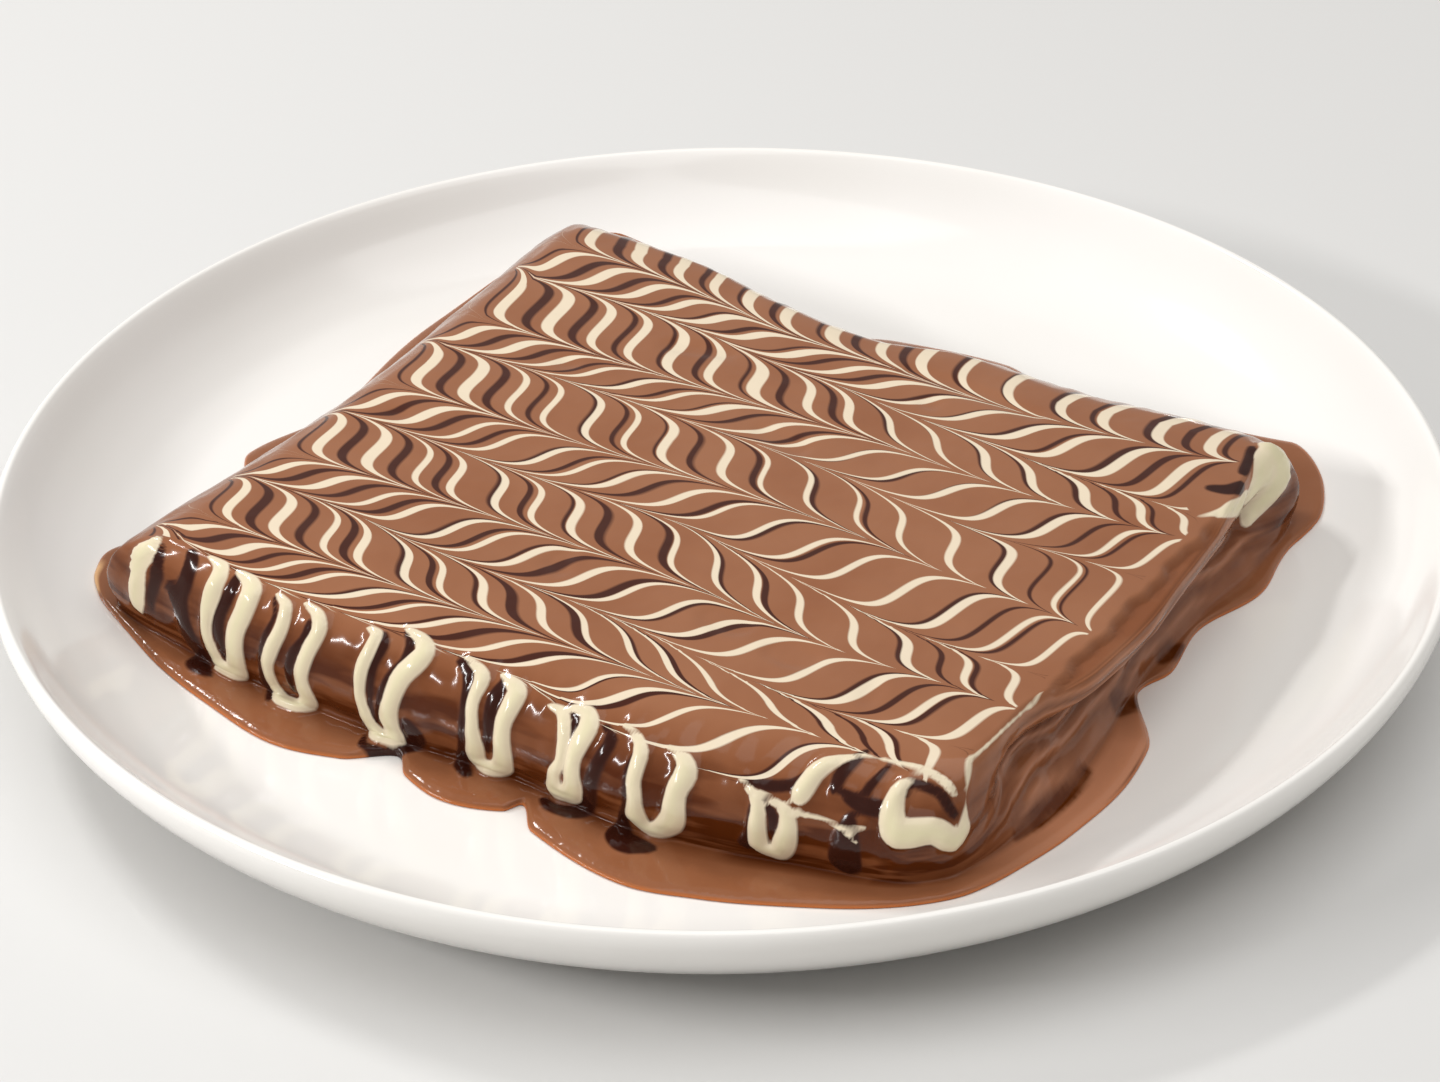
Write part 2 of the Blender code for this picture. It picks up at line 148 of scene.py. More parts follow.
def place_of(u, v):
    """Places around the crepe of points on the top grid's border."""
    front, right, back = v < -0.9999, u > 0.9999, v > 0.9999
    choices = [(u + 1) / 2, 1 + (v + 1) / 2, 2 + (1 - u) / 2]
    return np.select([front, right, back], choices, 3 + (1 - v) / 2)


def border_of(place):
    """u and v of the top grid's border at places around the crepe."""
    place = place % 4
    side = np.floor(place)
    run = 2 * (place - side) - 1
    u = np.select([side == 0, side == 1, side == 2], [run, 1 + 0 * run, -run], -1)
    v = np.select([side == 0, side == 1, side == 2], [-1 + 0 * run, run, 1 + 0 * run], -run)
    return u, v


def outward(place):
    """The direction that the side faces, turning through each corner."""
    nearest = np.floor(place + 0.5)
    turn = 45 * np.clip((place - nearest) / CORNER_TURN, -1, 1)
    angle = np.radians(90 * nearest - 135 + turn)
    return np.stack([np.cos(angle), np.sin(angle)], -1)


def plate_z(plan):
    """The height of the plate's glaze under plan points."""
    return between(np.hypot(plan[..., 0], plan[..., 1]), *zip(*PLATE_INSIDE))


def side_points(place, ring, inset=0.0):
    """Points of the side: ring 0 is the top's edge and the last ring meets the pool."""
    rings = np.arange(LAST_RING + 1)
    top = top_plan(*border_of(place))
    base = outline(BASE, place)
    base_z = plate_z(base) + POOL_DEPTH + 0.4
    height = base_z + between(ring, rings, ROUND_HEIGHT) * (TOP_Z - EDGE_DROP - base_z)
    bulge = SIDE_BULGE * between(ring, rings, ROUND_BULGE) * outward(place)
    plan = top + between(ring, rings, ROUND_OUT) * (base - top) + bulge
    near = np.clip(place % 4, 1, 2)
    ridge = between(near, *zip(*RIDGE_X)) - top[:, 0]
    groove = between(near, *zip(*GROOVE))
    level = 0 * groove
    reach = [level, 0.7 + level, 1.1 + level, 0.2 + level, -groove, 0.6 - groove, ridge - 0.8, ridge + 0.6]
    reach = np.stack(reach + [base[:, 0] - top[:, 0]])
    heights = np.stack([z + level for z in SLAB_Z] + [base_z])
    low = int(min(ring, LAST_RING - 1))
    part = ring - low
    slab_x = top[:, 0] + (1 - part) * reach[low] + part * reach[low + 1]
    slab_y = top[:, 1] + np.interp(ring, rings, SLAB_SHARE) * (base[:, 1] - top[:, 1])
    slab_z = (1 - part) * heights[low] + part * heights[low + 1]
    share = np.interp(place % 4, [1.0, 1.1, 1.9, 2.0], [0, 1, 1, 0])[:, None]
    slab = np.column_stack([slab_x, slab_y, slab_z])
    points = (1 - share) * np.column_stack([plan, height]) + share * slab
    insets = [np.interp(ring, rings, np.array(ROUND_INSET)[:, axis]) for axis in (0, 1)]
    slabs = [np.interp(ring, rings, np.array(SLAB_INSET)[:, axis]) for axis in (0, 1)]
    points[:, :2] -= inset * ((1 - share) * insets[0] + share * slabs[0]) * outward(place)
    points[:, 2:] -= inset * ((1 - share) * insets[1] + share * slabs[1])
    return points


def pool_points(place, share, lift, inset=0.0):
    """Points of the pool: share 0 is under the crepe's side and 1 is the pool's edge."""
    base = outline(BASE, place) - inset * outward(place)
    plan = base + share * (outline(POOL, place) - base)
    return np.column_stack([plan, plate_z(plan) + lift])


def top_heights(u, v):
    """The coat's height: nearly level, with soft hollows and a rounded edge."""
    rim = np.maximum(np.abs(u), np.abs(v)) ** 8
    hollows = 0.22 * np.sin(5.1 * u + 1.3) * np.cos(4.3 * v + 0.4) + 0.15 * np.sin(9.7 * u * v + 2.0)
    return TOP_Z - EDGE_DROP * rim + hollows * (1 - rim)


print("front edge from", np.round(side_points(np.array([0.0, 1.0]), 0), 1).tolist())

# %% [markdown]
# ## Drips, blobs and puddles as distances
# Each thick drip is a line of points with a half width. Most are drawn on the coat as if its top and
# front side were one flat sheet: x along the crepe, and y falling over the front edge. At the corners
# that sheet would tear, so the blobs there are drawn in space. The distance from each point of the
# coat to the nearest drip tells both where the surface rises and where the colour changes. Arms of
# one drip are joined with a smooth minimum, so they melt into each other.

# %% White drips on the front, drawn flat
WHITE_DRIPS = [
    [
        (-60.5, -75.5, 0.4), (-57, -76.5, 1.1), (-55.5, -79, 1.5), (-55.3, -83, 1.75),
        (-55.3, -88, 1.2), (-54.8, -92, 1.3), (-53, -97.4, 1.9), (-50, -97.2, 2.1), (-49, -92, 1.8),
        (-48.9, -87.5, 1.7), (-47.9, -82, 1.8), (-48, -79.3, 1.75), (-49.8, -77.3, 1.2),
        (-53, -76.4, 0.5),
    ],
    [
        (-43.5, -77.5, 0.4), (-40.5, -79.2, 0.95), (-39.9, -82.5, 1.2), (-41, -87, 1.3),
        (-42, -91.5, 1.15), (-41.7, -95.5, 1.3), (-39, -99, 1.5), (-36, -98.8, 1.6),
        (-34, -95.5, 1.8), (-34.6, -90.5, 1.45), (-33.6, -85.5, 1.4), (-32.5, -81, 1.35),
        (-34, -78.5, 1), (-37.5, -77.3, 0.4),
    ],
    [
        (-24, -77.2, 0.4), (-21.7, -77.8, 0.85), (-21.8, -80.5, 1.15), (-22.3, -84, 1.25),
        (-22, -88.5, 0.95), (-21.4, -92, 1.15), (-20.8, -95.3, 1.5), (-18.3, -98, 1.8),
        (-15.8, -97.4, 1.8), (-16.3, -92.5, 1.75), (-15.6, -88, 1.5), (-14.4, -82.8, 1.75),
        (-12.5, -79.5, 1.8), (-11.8, -77.4, 1.6), (-14, -75.6, 1), (-17.5, -74.8, 0.4),
    ],
    [
        (-4.3, -75.7, 0.4), (-1, -76.8, 0.9), (0.3, -78.3, 1.3), (-0.2, -82, 1.05),
        (0.4, -86, 1.15), (0.9, -90, 1.6), (0.5, -94, 1.8), (3, -95.3, 1.8), (6, -93, 1.9),
        (6.7, -88.5, 1.7), (6.4, -84, 1.45), (7, -80.5, 1.6), (7.5, -78.2, 1.55), (6, -77, 1.1),
        (3.3, -76.2, 0.4),
    ],
    [
        (14, -78, 0.4), (16.8, -78.4, 0.9), (18.3, -80.5, 1.15), (19.1, -83.8, 1.05),
        (19.2, -86, 0.95), (17.6, -90, 1.3), (17.3, -94, 2.1), (20.5, -93.5, 2.2), (22, -90, 1.8),
        (21.7, -85.5, 1.4), (22.3, -81.8, 1.7), (22.9, -79.2, 1.7), (21.3, -77, 1.1),
        (18.3, -76.9, 0.4),
    ],
    [
        (29, -76.8, 0.4), (32, -78, 0.8), (33.7, -80.5, 1.2), (33.7, -84.8, 1.1), (34.4, -88, 1.1),
        (34.4, -92.5, 1.8), (36.5, -94.5, 1.6), (39.5, -91.5, 1.8), (40.8, -87.5, 1.7),
        (40.8, -84, 1.45), (41.7, -80.3, 1.6), (40.8, -78.4, 1.1), (37.5, -77.5, 0.4),
    ],
    [
        (50.5, -77.7, 0.3), (53, -78.8, 0.75), (54.9, -81.5, 1.25), (54.9, -85, 1.5),
        (55, -89, 1.7), (57.8, -89.2, 1.6), (59.5, -86, 1.8), (60.4, -82, 1.5), (59.8, -79.6, 1.1),
        (57.4, -78.7, 0.6), (54, -78.2, 0.3),
    ],
    [
        (53.5, -78.8, 0.2), (58, -78.8, 0.25), (61.5, -79, 0.35), (65, -78.2, 0.3),
        (68, -78.3, 0.4), (71.5, -80, 0.25),
    ],
    [(68, -78.6, 0.3), (71, -77.6, 0.3), (73.2, -76.8, 0.3)],
    [(86.6, -57.5, 0.35), (86.5, -48, 0.22), (86.8, -39.7, 0.2), (86.8, -35, 0.12)],
    [
        (74, -64.3, 0.1), (69.3, -65.7, 0.25), (66, -67.8, 0.65), (63.9, -69.8, 1.2),
        (62.7, -71.7, 1.35), (62, -74.2, 1.45), (61.3, -76.3, 1.4),
    ],
]

# %% Dark drips and puddles on the front, drawn flat
DARK_DRIPS = [
    [
        (-64.9, -84.7, 1.4), (-64, -88.1, 1.4), (-63.2, -91.9, 1.4), (-62.7, -95.7, 1.5),
        (-60.6, -98.4, 1.5), (-57, -100.3, 1.2),
    ],
    [(-52.3, -77.5, 1), (-52, -81, 1.3), (-52.8, -86, 1.4), (-52.2, -91, 1.1), (-51.8, -94.5, 0.5)],
    [
        (-43.5, -78.3, 0.5), (-41.9, -81.5, 0.5), (-42.9, -86, 0.7), (-43.7, -92, 0.6),
        (-44, -96, 0.7), (-41.5, -100, 0.8),
    ],
    [(-35, -80, 0.6), (-34.7, -82.3, 0.9), (-36.8, -87, 1), (-37.4, -92, 0.85), (-37, -95, 0.4)],
    [
        (-20.7, -77.6, 0.9), (-19.9, -79.3, 1.1), (-20.3, -83, 0.85), (-20, -88, 0.7),
        (-19.5, -95, 0.45),
    ],
    [
        (-17, -75.6, 0.5), (-15.2, -77, 0.9), (-14.9, -79.5, 0.9), (-17, -84.5, 0.9),
        (-18.2, -90, 0.65), (-18.9, -94, 0.4),
    ],
    [
        (-21.5, -99, 0.4), (-19.5, -101.6, 0.8), (-15.5, -101, 1.2), (-13.3, -97.5, 1.8),
        (-12, -94, 2.2), (-12.7, -91.5, 1.3),
    ],
    [
        (-5.4, -76.5, 0.8), (-2.8, -77.8, 1.1), (-2, -81, 0.85), (-1.6, -87, 0.75), (-2, -92, 0.8),
        (-2.8, -96.5, 1.3), (0, -98.9, 1),
    ],
    [(4.4, -77.3, 1.1), (3.5, -81, 1.3), (3.6, -86, 1.1), (3.2, -91, 0.4)],
    [(17.7, -76.9, 0.4), (20.3, -79.5, 1), (20.4, -83.5, 0.65), (20, -89, 0.25)],
    [
        (25.5, -78, 0.6), (27.8, -80, 1), (27, -83, 1.2), (25.9, -87.5, 1.4), (25, -92.5, 1.5),
        (22, -97.5, 1.6), (18, -98.5, 1.2), (15.4, -97.5, 0.7),
    ],
    [
        (32.5, -80.8, 0.4), (32.5, -84, 0.8), (32.7, -89, 0.65), (31.5, -94, 0.9), (31.2, -98, 2),
        (34, -99.8, 2.5), (37.5, -99, 1.3),
    ],
    [(40, -79, 0.3), (39.3, -86, 0.35), (38.8, -89, 0.3)],
    [(53.3, -81, 0.45), (53.3, -85.5, 0.55), (52.1, -89.5, 1.4)],
    [(55.3, -79.3, 0.6), (57.6, -81.5, 1), (57.4, -85.2, 0.3)],
    [(50.8, -77.5, 0.4), (53.4, -77.2, 0.8), (56.4, -76.5, 1), (60, -74.8, 0.9)],
    [(69.9, -76.5, 1), (70, -79.5, 1.9), (69.4, -84.4, 2.5), (69, -86.5, 2.3)],
    [(69.3, -64.6, 0.5), (67.7, -67.8, 1), (66.7, -70.6, 1.1), (66.5, -73.1, 0.8)],
    [(74.5, -65, 0.3), (72.8, -68.3, 0.8), (71.5, -71, 0.9)],
    [(67.8, -72.8, 0.7), (70.8, -73.5, 1.4), (75, -73, 1.5), (79, -71.9, 0.8)],
]

# %% Blobs at the corners, drawn in space
WHITE_BLOBS = [
    [
        (-72.6, -75.4, 29.4, 0.9), (-73.8, -77, 27, 1.9), (-75.5, -77.7, 25.2, 2.4),
        (-75.8, -78.5, 21.5, 2.1), (-76.5, -78.7, 14.5, 1.8),
    ],
    [
        (80.8, -65, 28.8, 0.7), (78, -68.2, 26.4, 1.3), (78.2, -70.3, 24, 1.8),
        (80.3, -72.2, 20.4, 2.6), (82.2, -71, 20.6, 2.6), (84.9, -68.8, 20.8, 2.3),
        (88, -66.2, 18.2, 2.3), (88.6, -64, 19, 1.8), (88.3, -63.2, 21.6, 1.1),
        (87.8, -62, 24.6, 0.4), (86.8, -59.8, 27.7, 0.9), (85.7, -57.7, 29.6, 0.8),
    ],
    [
        (83.5, 57.5, 29, 1.6), (85.6, 57.5, 27.1, 2.8), (87, 57.5, 23.8, 3.4),
        (87, 54.7, 21.5, 3.4), (86, 52, 20, 2.8), (84.4, 48.8, 18, 1.9),
    ],
    [
        (72.7, -65, 28.5, 0.25), (76.2, -64.3, 28.6, 0.45), (80.5, -63.6, 28.3, 0.65),
        (83.9, -63.4, 27.3, 0.75), (86, -63.6, 25.6, 0.6),
    ],
    [(85.3, 55, 28.6, 2), (87, 53, 26, 2.4), (87, 51, 23.6, 2.6)],
    [(84.8, 54.6, 29, 1.6), (86, 51.9, 27.8, 2.2), (87, 48.4, 25.3, 2.8), (87.2, 45, 24.5, 2.4)],
    [
        (87.6, 43, 26, 1.9), (88, 40.3, 26, 2.2), (88.4, 37.5, 27.4, 1.9), (88, 33, 29.6, 1.4),
        (86, 29.7, 30.3, 0.8), (84.2, 27.4, 30.4, 0.5),
    ],
]
DARK_BLOBS = [
    [
        (-64.8, -75.8, 29.6, 1), (-63.8, -77.5, 28.2, 1.6), (-64, -79.4, 25.3, 1.9),
        (-65, -80.1, 22, 2), (-64.7, -80.4, 18.5, 2), (-63.8, -80.4, 14.5, 2.1),
        (-62.8, -80.2, 11.5, 2.5), (-60.8, -81, 9.6, 2.2), (-57.5, -82.3, 9.2, 1),
    ],
    [
        (-71.2, -76.6, 28.4, 1.1), (-71.1, -78.8, 23.7, 1.6), (-72.6, -79.3, 18.6, 1.4),
        (-73.3, -79.2, 14.5, 1.1),
    ],
    [
        (79.3, -68.2, 25.4, 0.6), (78.8, -66.4, 27, 0.6), (81, -65.7, 26.8, 0.9),
        (84.2, -65, 25.8, 0.9), (85.7, -65.2, 24.2, 0.9), (87, -64.8, 22.2, 0.7),
    ],
    [(82.2, 54.6, 29.8, 1.2), (83.6, 50, 30, 1.2), (84.6, 46, 29.8, 1.2)],
    [(86.8, 42, 29.6, 1.8), (85, 39, 30.2, 1.7), (82, 37.5, 30.3, 1.2)],
]


# %% Distance to a drip
def smooth_line(line):
    """A drip's points with four steps for each one, along a smooth curve."""
    knots = np.array(line, float)
    reach = np.concatenate([[0], np.cumsum(np.linalg.norm(np.diff(knots[:, :-1], axis=0), axis=1))])
    steps = np.interp(np.arange(4 * len(knots) - 3) / 4, np.arange(len(knots)), reach)
    return np.stack([between(steps, reach, column) for column in knots.T], -1)


def line_distance(points, line):
    """Distance in mm from points to a line with changing half width, less that half width."""
    best = np.full(len(points), 99.0)
    ends = smooth_line(line)
    for start, stop in zip(ends, ends[1:]):
        along_line = stop[:-1] - start[:-1]
        share = np.clip((points - start[:-1]) @ along_line / (along_line @ along_line), 0, 1)
        away = np.linalg.norm(points - start[:-1] - share[:, None] * along_line, axis=1)
        gap = away - (start[-1] + share * (stop[-1] - start[-1]))
        low = np.clip(0.5 + 0.5 * (best - gap) / 0.5, 0, 1)
        best = best + low * (gap - best) - 0.5 * low * (1 - low)
    return best


def lines_distance(points, lines):
    """The smallest distance to any of the lines."""
    return np.min([line_distance(points, line) for line in lines], axis=0)


print(len(WHITE_DRIPS + WHITE_BLOBS), "white drips and", len(DARK_DRIPS + DARK_BLOBS), "dark ones")

# %% [markdown]
# ## The skewer's strokes
# A skewer was drawn through the lines along the crepe, to the right and back to the left in turn.
# Each stroke is a nearly level curve. Points between two strokes get a number that is whole on a
# stroke, and the distance between the two, and the material bends the lines with these.

# %% The skewer's strokes
STROKE_X = [-72, -50, -30, -10, 5, 20, 40, 55, 70, 80, 86]
OUTSIDE_BEHIND, OUTSIDE_FRONT = 16.0, 18.0
STROKES = [
    [54, 52, 49, 45.5, 45, 44, 43.5, 44, 45.5, 47.8, 50],
    [39, 38.5, 37.5, 34.5, 33.5, 31.5, 30, 28, 27.5, 27.6, 28],
    [20, 19.5, 19, 19.3, 19.6, 19.8, 18.5, 18, 18.5, 19.3, 20.5],
    [8, 8, 8, 7.3, 7, 6, 3.5, 2.5, 3.8, 4.3, 4.8],
    [-9.5, -9.5, -9.5, -9.2, -9, -9.2, -10.5, -12.3, -13.2, -14.2, -15.5],
    [-22, -23, -23.6, -23.3, -23.5, -26, -29.3, -31.5, -32, -31.6, -31],
    [-39.6, -38.8, -38.6, -38.8, -39, -39.5, -42, -43, -42.3, -42, -41.5],
    [-50, -51, -53.5, -54, -54.2, -55.5, -58, -59, -58, -57, -56],
    [-65, -66, -66, -65.8, -65.5, -65.5, -66, -65.5, -65, -65, -69],
    [-73, -76.3, -76.3, -75.8, -75.6, -77.6, -79, -78.5, -79, -80.5, -82],
]


def stroke_numbers(along, across):
    """A number that is whole on each stroke, and the gap in mm between a point's two strokes."""
    held = np.clip(along, STROKE_X[0], STROKE_X[-1])
    curves = np.stack([between(held, STROKE_X, row) for row in STROKES])
    curves = np.concatenate([curves[:1] + OUTSIDE_BEHIND, curves, curves[-1:] - OUTSIDE_FRONT])
    number = np.zeros(len(along))
    gap = np.full(len(along), OUTSIDE_BEHIND)
    for k in range(len(curves) - 1):
        inside = across <= curves[k]
        step = curves[k] - curves[k + 1]
        number = np.where(inside, k + (curves[k] - across) / step, number)
        gap = np.where(inside, step, gap)
    return np.clip(number, 0, len(curves) - 1.001), gap


print(len(STROKES), "strokes of the skewer")

# %% [markdown]
# ## Making meshes
# These helpers turn a bmesh into a finished object at the origin, and grow a border outwards ring
# by ring. Every new point copies the u and v of the border point that it was extruded from, so its
# place around the crepe is always known.

# %% Mesh helpers
def finish_mesh(bm, name, material):
    """The bmesh as a smooth shaded object at the origin."""
    bmesh.ops.recalc_face_normals(bm, faces=bm.faces)
    mesh = bpy.data.meshes.new(name)
    bm.to_mesh(mesh)
    bm.free()
    mesh.materials.append(material)
    mesh.shade_smooth()
    piece = bpy.data.objects.new(name, mesh)
    bpy.context.scene.collection.objects.link(piece)
    return piece


def extrude_ring(bm, edges, layers, put, marks):
    """The next ring outward from a border. marks are this ring's values for the other layers."""
    made = bmesh.ops.extrude_edge_only(bm, edges=edges)["geom"]
    verts = [part for part in made if isinstance(part, bmesh.types.BMVert)]
    u = np.array([vert[layers["u"]] for vert in verts])
    v = np.array([vert[layers["v"]] for vert in verts])
    for vert, point in zip(verts, put(place_of(u, v))):
        vert.co = Vector(point) * MM
        for name, value in marks.items():
            vert[layers[name]] = value
    return [part for part in made if isinstance(part, bmesh.types.BMEdge) and part.is_boundary]


def points_of(piece):
    """A piece's points in mm, as an array."""
    found = np.empty(len(piece.data.vertices) * 3, np.float32)
    piece.data.vertices.foreach_get("co", found)
    return found.reshape(-1, 3).astype(float) / MM


def layer_of(piece, name):
    """The numbers that one layer of a piece holds for its points."""
    found = np.empty(len(piece.data.vertices), np.float32)
    piece.data.attributes[name].data.foreach_get("value", found)
    return found.astype(float)


def store(piece, name, values):
    """Stores one number for each point of a piece, for its material to read."""
    layer = piece.data.attributes.get(name) or piece.data.attributes.new(name, "FLOAT", "POINT")
    layer.data.foreach_set("value", np.asarray(values, np.float32))


# %% [markdown]
# ## Building materials from nodes
# Materials here are long chains of arithmetic. They could be linked by hand in the editor, but a
# small class keeps them readable in a script: it adds a math node for each sum, takes numbers or
# sockets alike, and returns the result's socket.

# %% A helper that writes node arithmetic
class Nodes:
    """Adds nodes to one tree and links them."""

    def __init__(self, tree):
        self.tree = tree

    def feed(self, node, inputs):
        """Links sockets to a node's inputs, and sets plain values on them."""
        for name, value in inputs.items():
            if isinstance(value, bpy.types.NodeSocket):
                self.tree.links.new(value, node.inputs[name])
            else:
                node.inputs[name].default_value = value
        return node

    def add(self, kind, settings=None, inputs=None):
        """A new node with its settings and inputs."""
        node = self.tree.nodes.new(kind)
        for name, value in (settings or {}).items():
            setattr(node, name, value)
        return self.feed(node, inputs or {})

    def math(self, operation, *values):
        return self.add("ShaderNodeMath", {"operation": operation}, dict(enumerate(values))).outputs[0]

    def ramp(self, value, low, high, start=0.0, end=1.0):
        """The value mapped from low..high to start..end, and held at the ends."""
        inputs = {"Value": value, "From Min": low, "From Max": high, "To Min": start, "To Max": end}
        return self.add("ShaderNodeMapRange", {"clamp": True}, inputs).outputs[0]

    def mix(self, factor, first, second):
        """Between two numbers."""
        inputs = {"Factor": factor, "A": first, "B": second}
        return self.add("ShaderNodeMix", {"data_type": "FLOAT"}, inputs).outputs[0]

    def colour(self, factor, first, second):
        """Between two colours, whose sockets are the node's seventh and eighth."""
        inputs = {0: factor, 6: first, 7: second}
        return self.add("ShaderNodeMix", {"data_type": "RGBA"}, inputs).outputs[2]

    def noise(self, place, scale, detail):
        """Soft noise from 0 to 1."""
        inputs = {"Vector": place, "Scale": scale, "Detail": detail}
        return self.add("ShaderNodeTexNoise", None, inputs).outputs[0]

    def bump(self, height, strength, distance):
        """A normal that is bent by a height."""
        inputs = {"Height": height, "Strength": strength, "Distance": distance}
        return self.add("ShaderNodeBump", None, inputs).outputs[0]

    def curve(self, value, points):
        """A Float Curve through (input, output) points, in straight steps. Both run from 0 to 1."""
        node = self.add("ShaderNodeFloatCurve", None, {"Value": value})
        line = node.mapping.curves[0]
        line.points[0].location, line.points[1].location = points[0], points[-1]
        for point in points[1:-1]:
            line.points.new(*point)
        for point in line.points:
            point.handle_type = "VECTOR"
        node.mapping.use_clip = True
        node.mapping.update()
        return node.outputs[0]

    def attribute(self, name):
        """A number that the points carry."""
        return self.add("ShaderNodeAttribute", {"attribute_name": name}).outputs["Fac"]

    def object_place(self):
        """The piece's own coordinates in metres."""
        return self.add("ShaderNodeTexCoord").outputs["Object"]


def srgb(red, green, blue):
    """A colour given as 0 to 255 on screen, as the linear colour that a shader takes."""
    shares = [channel / 255 for channel in (red, green, blue)]
    return (*[((share + 0.055) / 1.055) ** 2.4 if share > 0.04 else share / 12.92 for share in shares], 1)


def principled(name):
    """A new material, a helper for its tree, and its Principled shader."""
    material = bpy.data.materials.new(name)
    material.use_nodes = True
    return material, Nodes(material.node_tree), material.node_tree.nodes["Principled BSDF"]


print("helpers ready")

# %% [markdown]
# ## The feathered lines
# White and dark chocolate lines lie side by side across the crepe, and the skewer bends them.
# This could be painted, or modelled as thin strips, but a rule gives sharper lines: pulling a
# skewer through the lines moves each point along the stroke by an amount that falls quickly with
# its distance from the stroke. Undoing that move for a point tells which line it came from. The
# node group below does this for every pixel, with curves for the lines' uneven spacing and width.

# %% Where the lines lie
LINE_ROWS = [42, 0, -62, -84]
WHITE_X = [
    [-69.7, -57.2, -46.6, -37.5, -28.8, -19, -7.6, 3.6, 12.8, 22, 32, 44, 52.8, 64.5, 75, 84, 93],
    [
        -66.9, -55.6, -45.5, -37.7, -28.2, -19.6, -11.8, 1.7, 9.8, 19.8, 31.2, 40.7, 52.2, 62.9,
        75.8, 82.6, 97,
    ],
    [-69, -57.7, -46.2, -39, -28.3, -21, -12, 0.8, 10, 19.5, 27.7, 36.8, 49.5, 60.5, 72, 80.6, 97],
    [
        -70, -55.4, -48.3, -40.3, -33.2, -22.3, -15, 0, 6.4, 19.1, 21.8, 33.7, 40.8, 54.9, 60.1, 79,
        88,
    ],
]
WIDTH_ROWS = [42, 0, -55]
WHITE_HALF = [
    [1.3, 1.3, 1.3, 1.3, 1.6, 1.3, 1.5, 1.1, 1.5, 0.9, 1.0, 1.1, 1.2, 1.1, 1.3, 0.8, 0],
    [1.3, 1.3, 0.8, 0.75, 0.9, 0.75, 0.95, 0.9, 0.6, 0.6, 0.5, 0.7, 0.8, 0.8, 0.4, 0.5, 0],
    [1.1, 1.1, 0.8, 1.1, 1, 0.9, 0.9, 0.9, 0.8, 0.9, 1.1, 0.8, 0.8, 1, 0.9, 0.8, 0.5],
]
DARK_ROWS = [35, 0]
DARK_AT = [
    [
        -0.35, 0.59, 1.58, 2.65, 3.75, 4.66, 5.73, 6.45, 7.53, 8.83, 9.9, 10.85, 11.76, 12.84,
        13.53, 14.3, 15.2,
    ],
    [
        -0.4, 0.5, 1.5, 2.57, 3.9, 4.68, 5.85, 6.46, 7.8, 9.12, 10.2, 11.0, 12.0, 12.88, 13.56,
        14.14, 15.45,
    ],
]
DARK_HALF = [
    [0.6, 1.1, 1.0, 0.8, 0.6, 1.0, 0.5, 1.0, 0.9, 0.6, 0.5, 0.7, 0.7, 1.0, 1.2, 0.8, 0],
    [0.6, 0.9, 1.0, 0.65, 0.55, 0.7, 0.45, 0.6, 0.75, 0.55, 0.65, 0.6, 0.45, 0.65, 0.55, 0.5, 0],
    [0.6, 1.2, 0.85, 1.2, 0.8, 1.1, 0.7, 1.1, 1.0, 0.8, 1.1, 0.7, 0.8, 0.9, 1.0, 0.8, 0],
]
LINE_PITCH = 10.0
ALONG_FROM, ALONG_SPAN = -100, 220
NUMBER_FROM, NUMBER_SPAN = -2, 20
print(len(WHITE_X[0]), "white lines and", len(DARK_AT[0]), "dark ones")


# %% Numbering the lines
def along_share(x):
    """A place along the crepe as a share from 0 to 1, which a Float Curve needs."""
    return (x - ALONG_FROM) / ALONG_SPAN


def number_share(number):
    """A line's number as a share from 0 to 1."""
    return (number - NUMBER_FROM) / NUMBER_SPAN


def to_share(nodes, value, lowest, span):
    """The same for a socket."""
    return nodes.math("DIVIDE", nodes.math("SUBTRACT", value, lowest), span)


def from_share(nodes, share):
    """A line's number from its share."""
    return nodes.math("ADD", nodes.math("MULTIPLY", share, NUMBER_SPAN), NUMBER_FROM)


def rows_mixed(nodes, across, rows, values):
    """The values at several rows, blended in straight steps for a point's place across."""
    mixed = values[0]
    for high, low, value in zip(rows, rows[1:], values[1:]):
        mixed = nodes.mix(nodes.ramp(across, high, low), mixed, value)
    return mixed


def line_edge(nodes, number, across, table):
    """Distance in mm to the nearest line's edge, negative inside it. The table holds half widths."""
    share = to_share(nodes, number, NUMBER_FROM, NUMBER_SPAN)
    curves = []
    for row in table:
        steps = [(number_share(k), half / 2) for k, half in enumerate(row)]
        steps = [(0, 0), (number_share(-0.5), 0)] + steps + [(number_share(17), 0), (1, 0)]
        curves.append(nodes.curve(share, steps))
    half = nodes.math("MULTIPLY", rows_mixed(nodes, across, WIDTH_ROWS, curves), 2)
    from_middle = nodes.math("ABSOLUTE", nodes.math("SUBTRACT", number, nodes.math("ROUND", number)))
    return nodes.math("SUBTRACT", nodes.math("MULTIPLY", from_middle, LINE_PITCH), half)


print("a line's half width is looked up at", len(WIDTH_ROWS), "rows")

# %% [markdown]
# ## The skewer's pull as nodes
# The group first works out how far the strokes on either side have pulled a point, in turn to the
# right and to the left, and takes that move back. The curves then give the number of the white line
# that lies there, and from it the dark line's number. What comes out is the distance to each line's
# edge, in millimetres, so that a material can choose how soft the edge is.

# %% The feathering as a node group
def stroke_pull(nodes, distance, reach):
    """How much of a stroke's pull is left at a distance from it, from 1 down to 0."""
    fall = nodes.math("POWER", nodes.math("DIVIDE", distance, reach), 0.72)
    return nodes.math("EXPONENT", nodes.math("MULTIPLY", fall, -1))


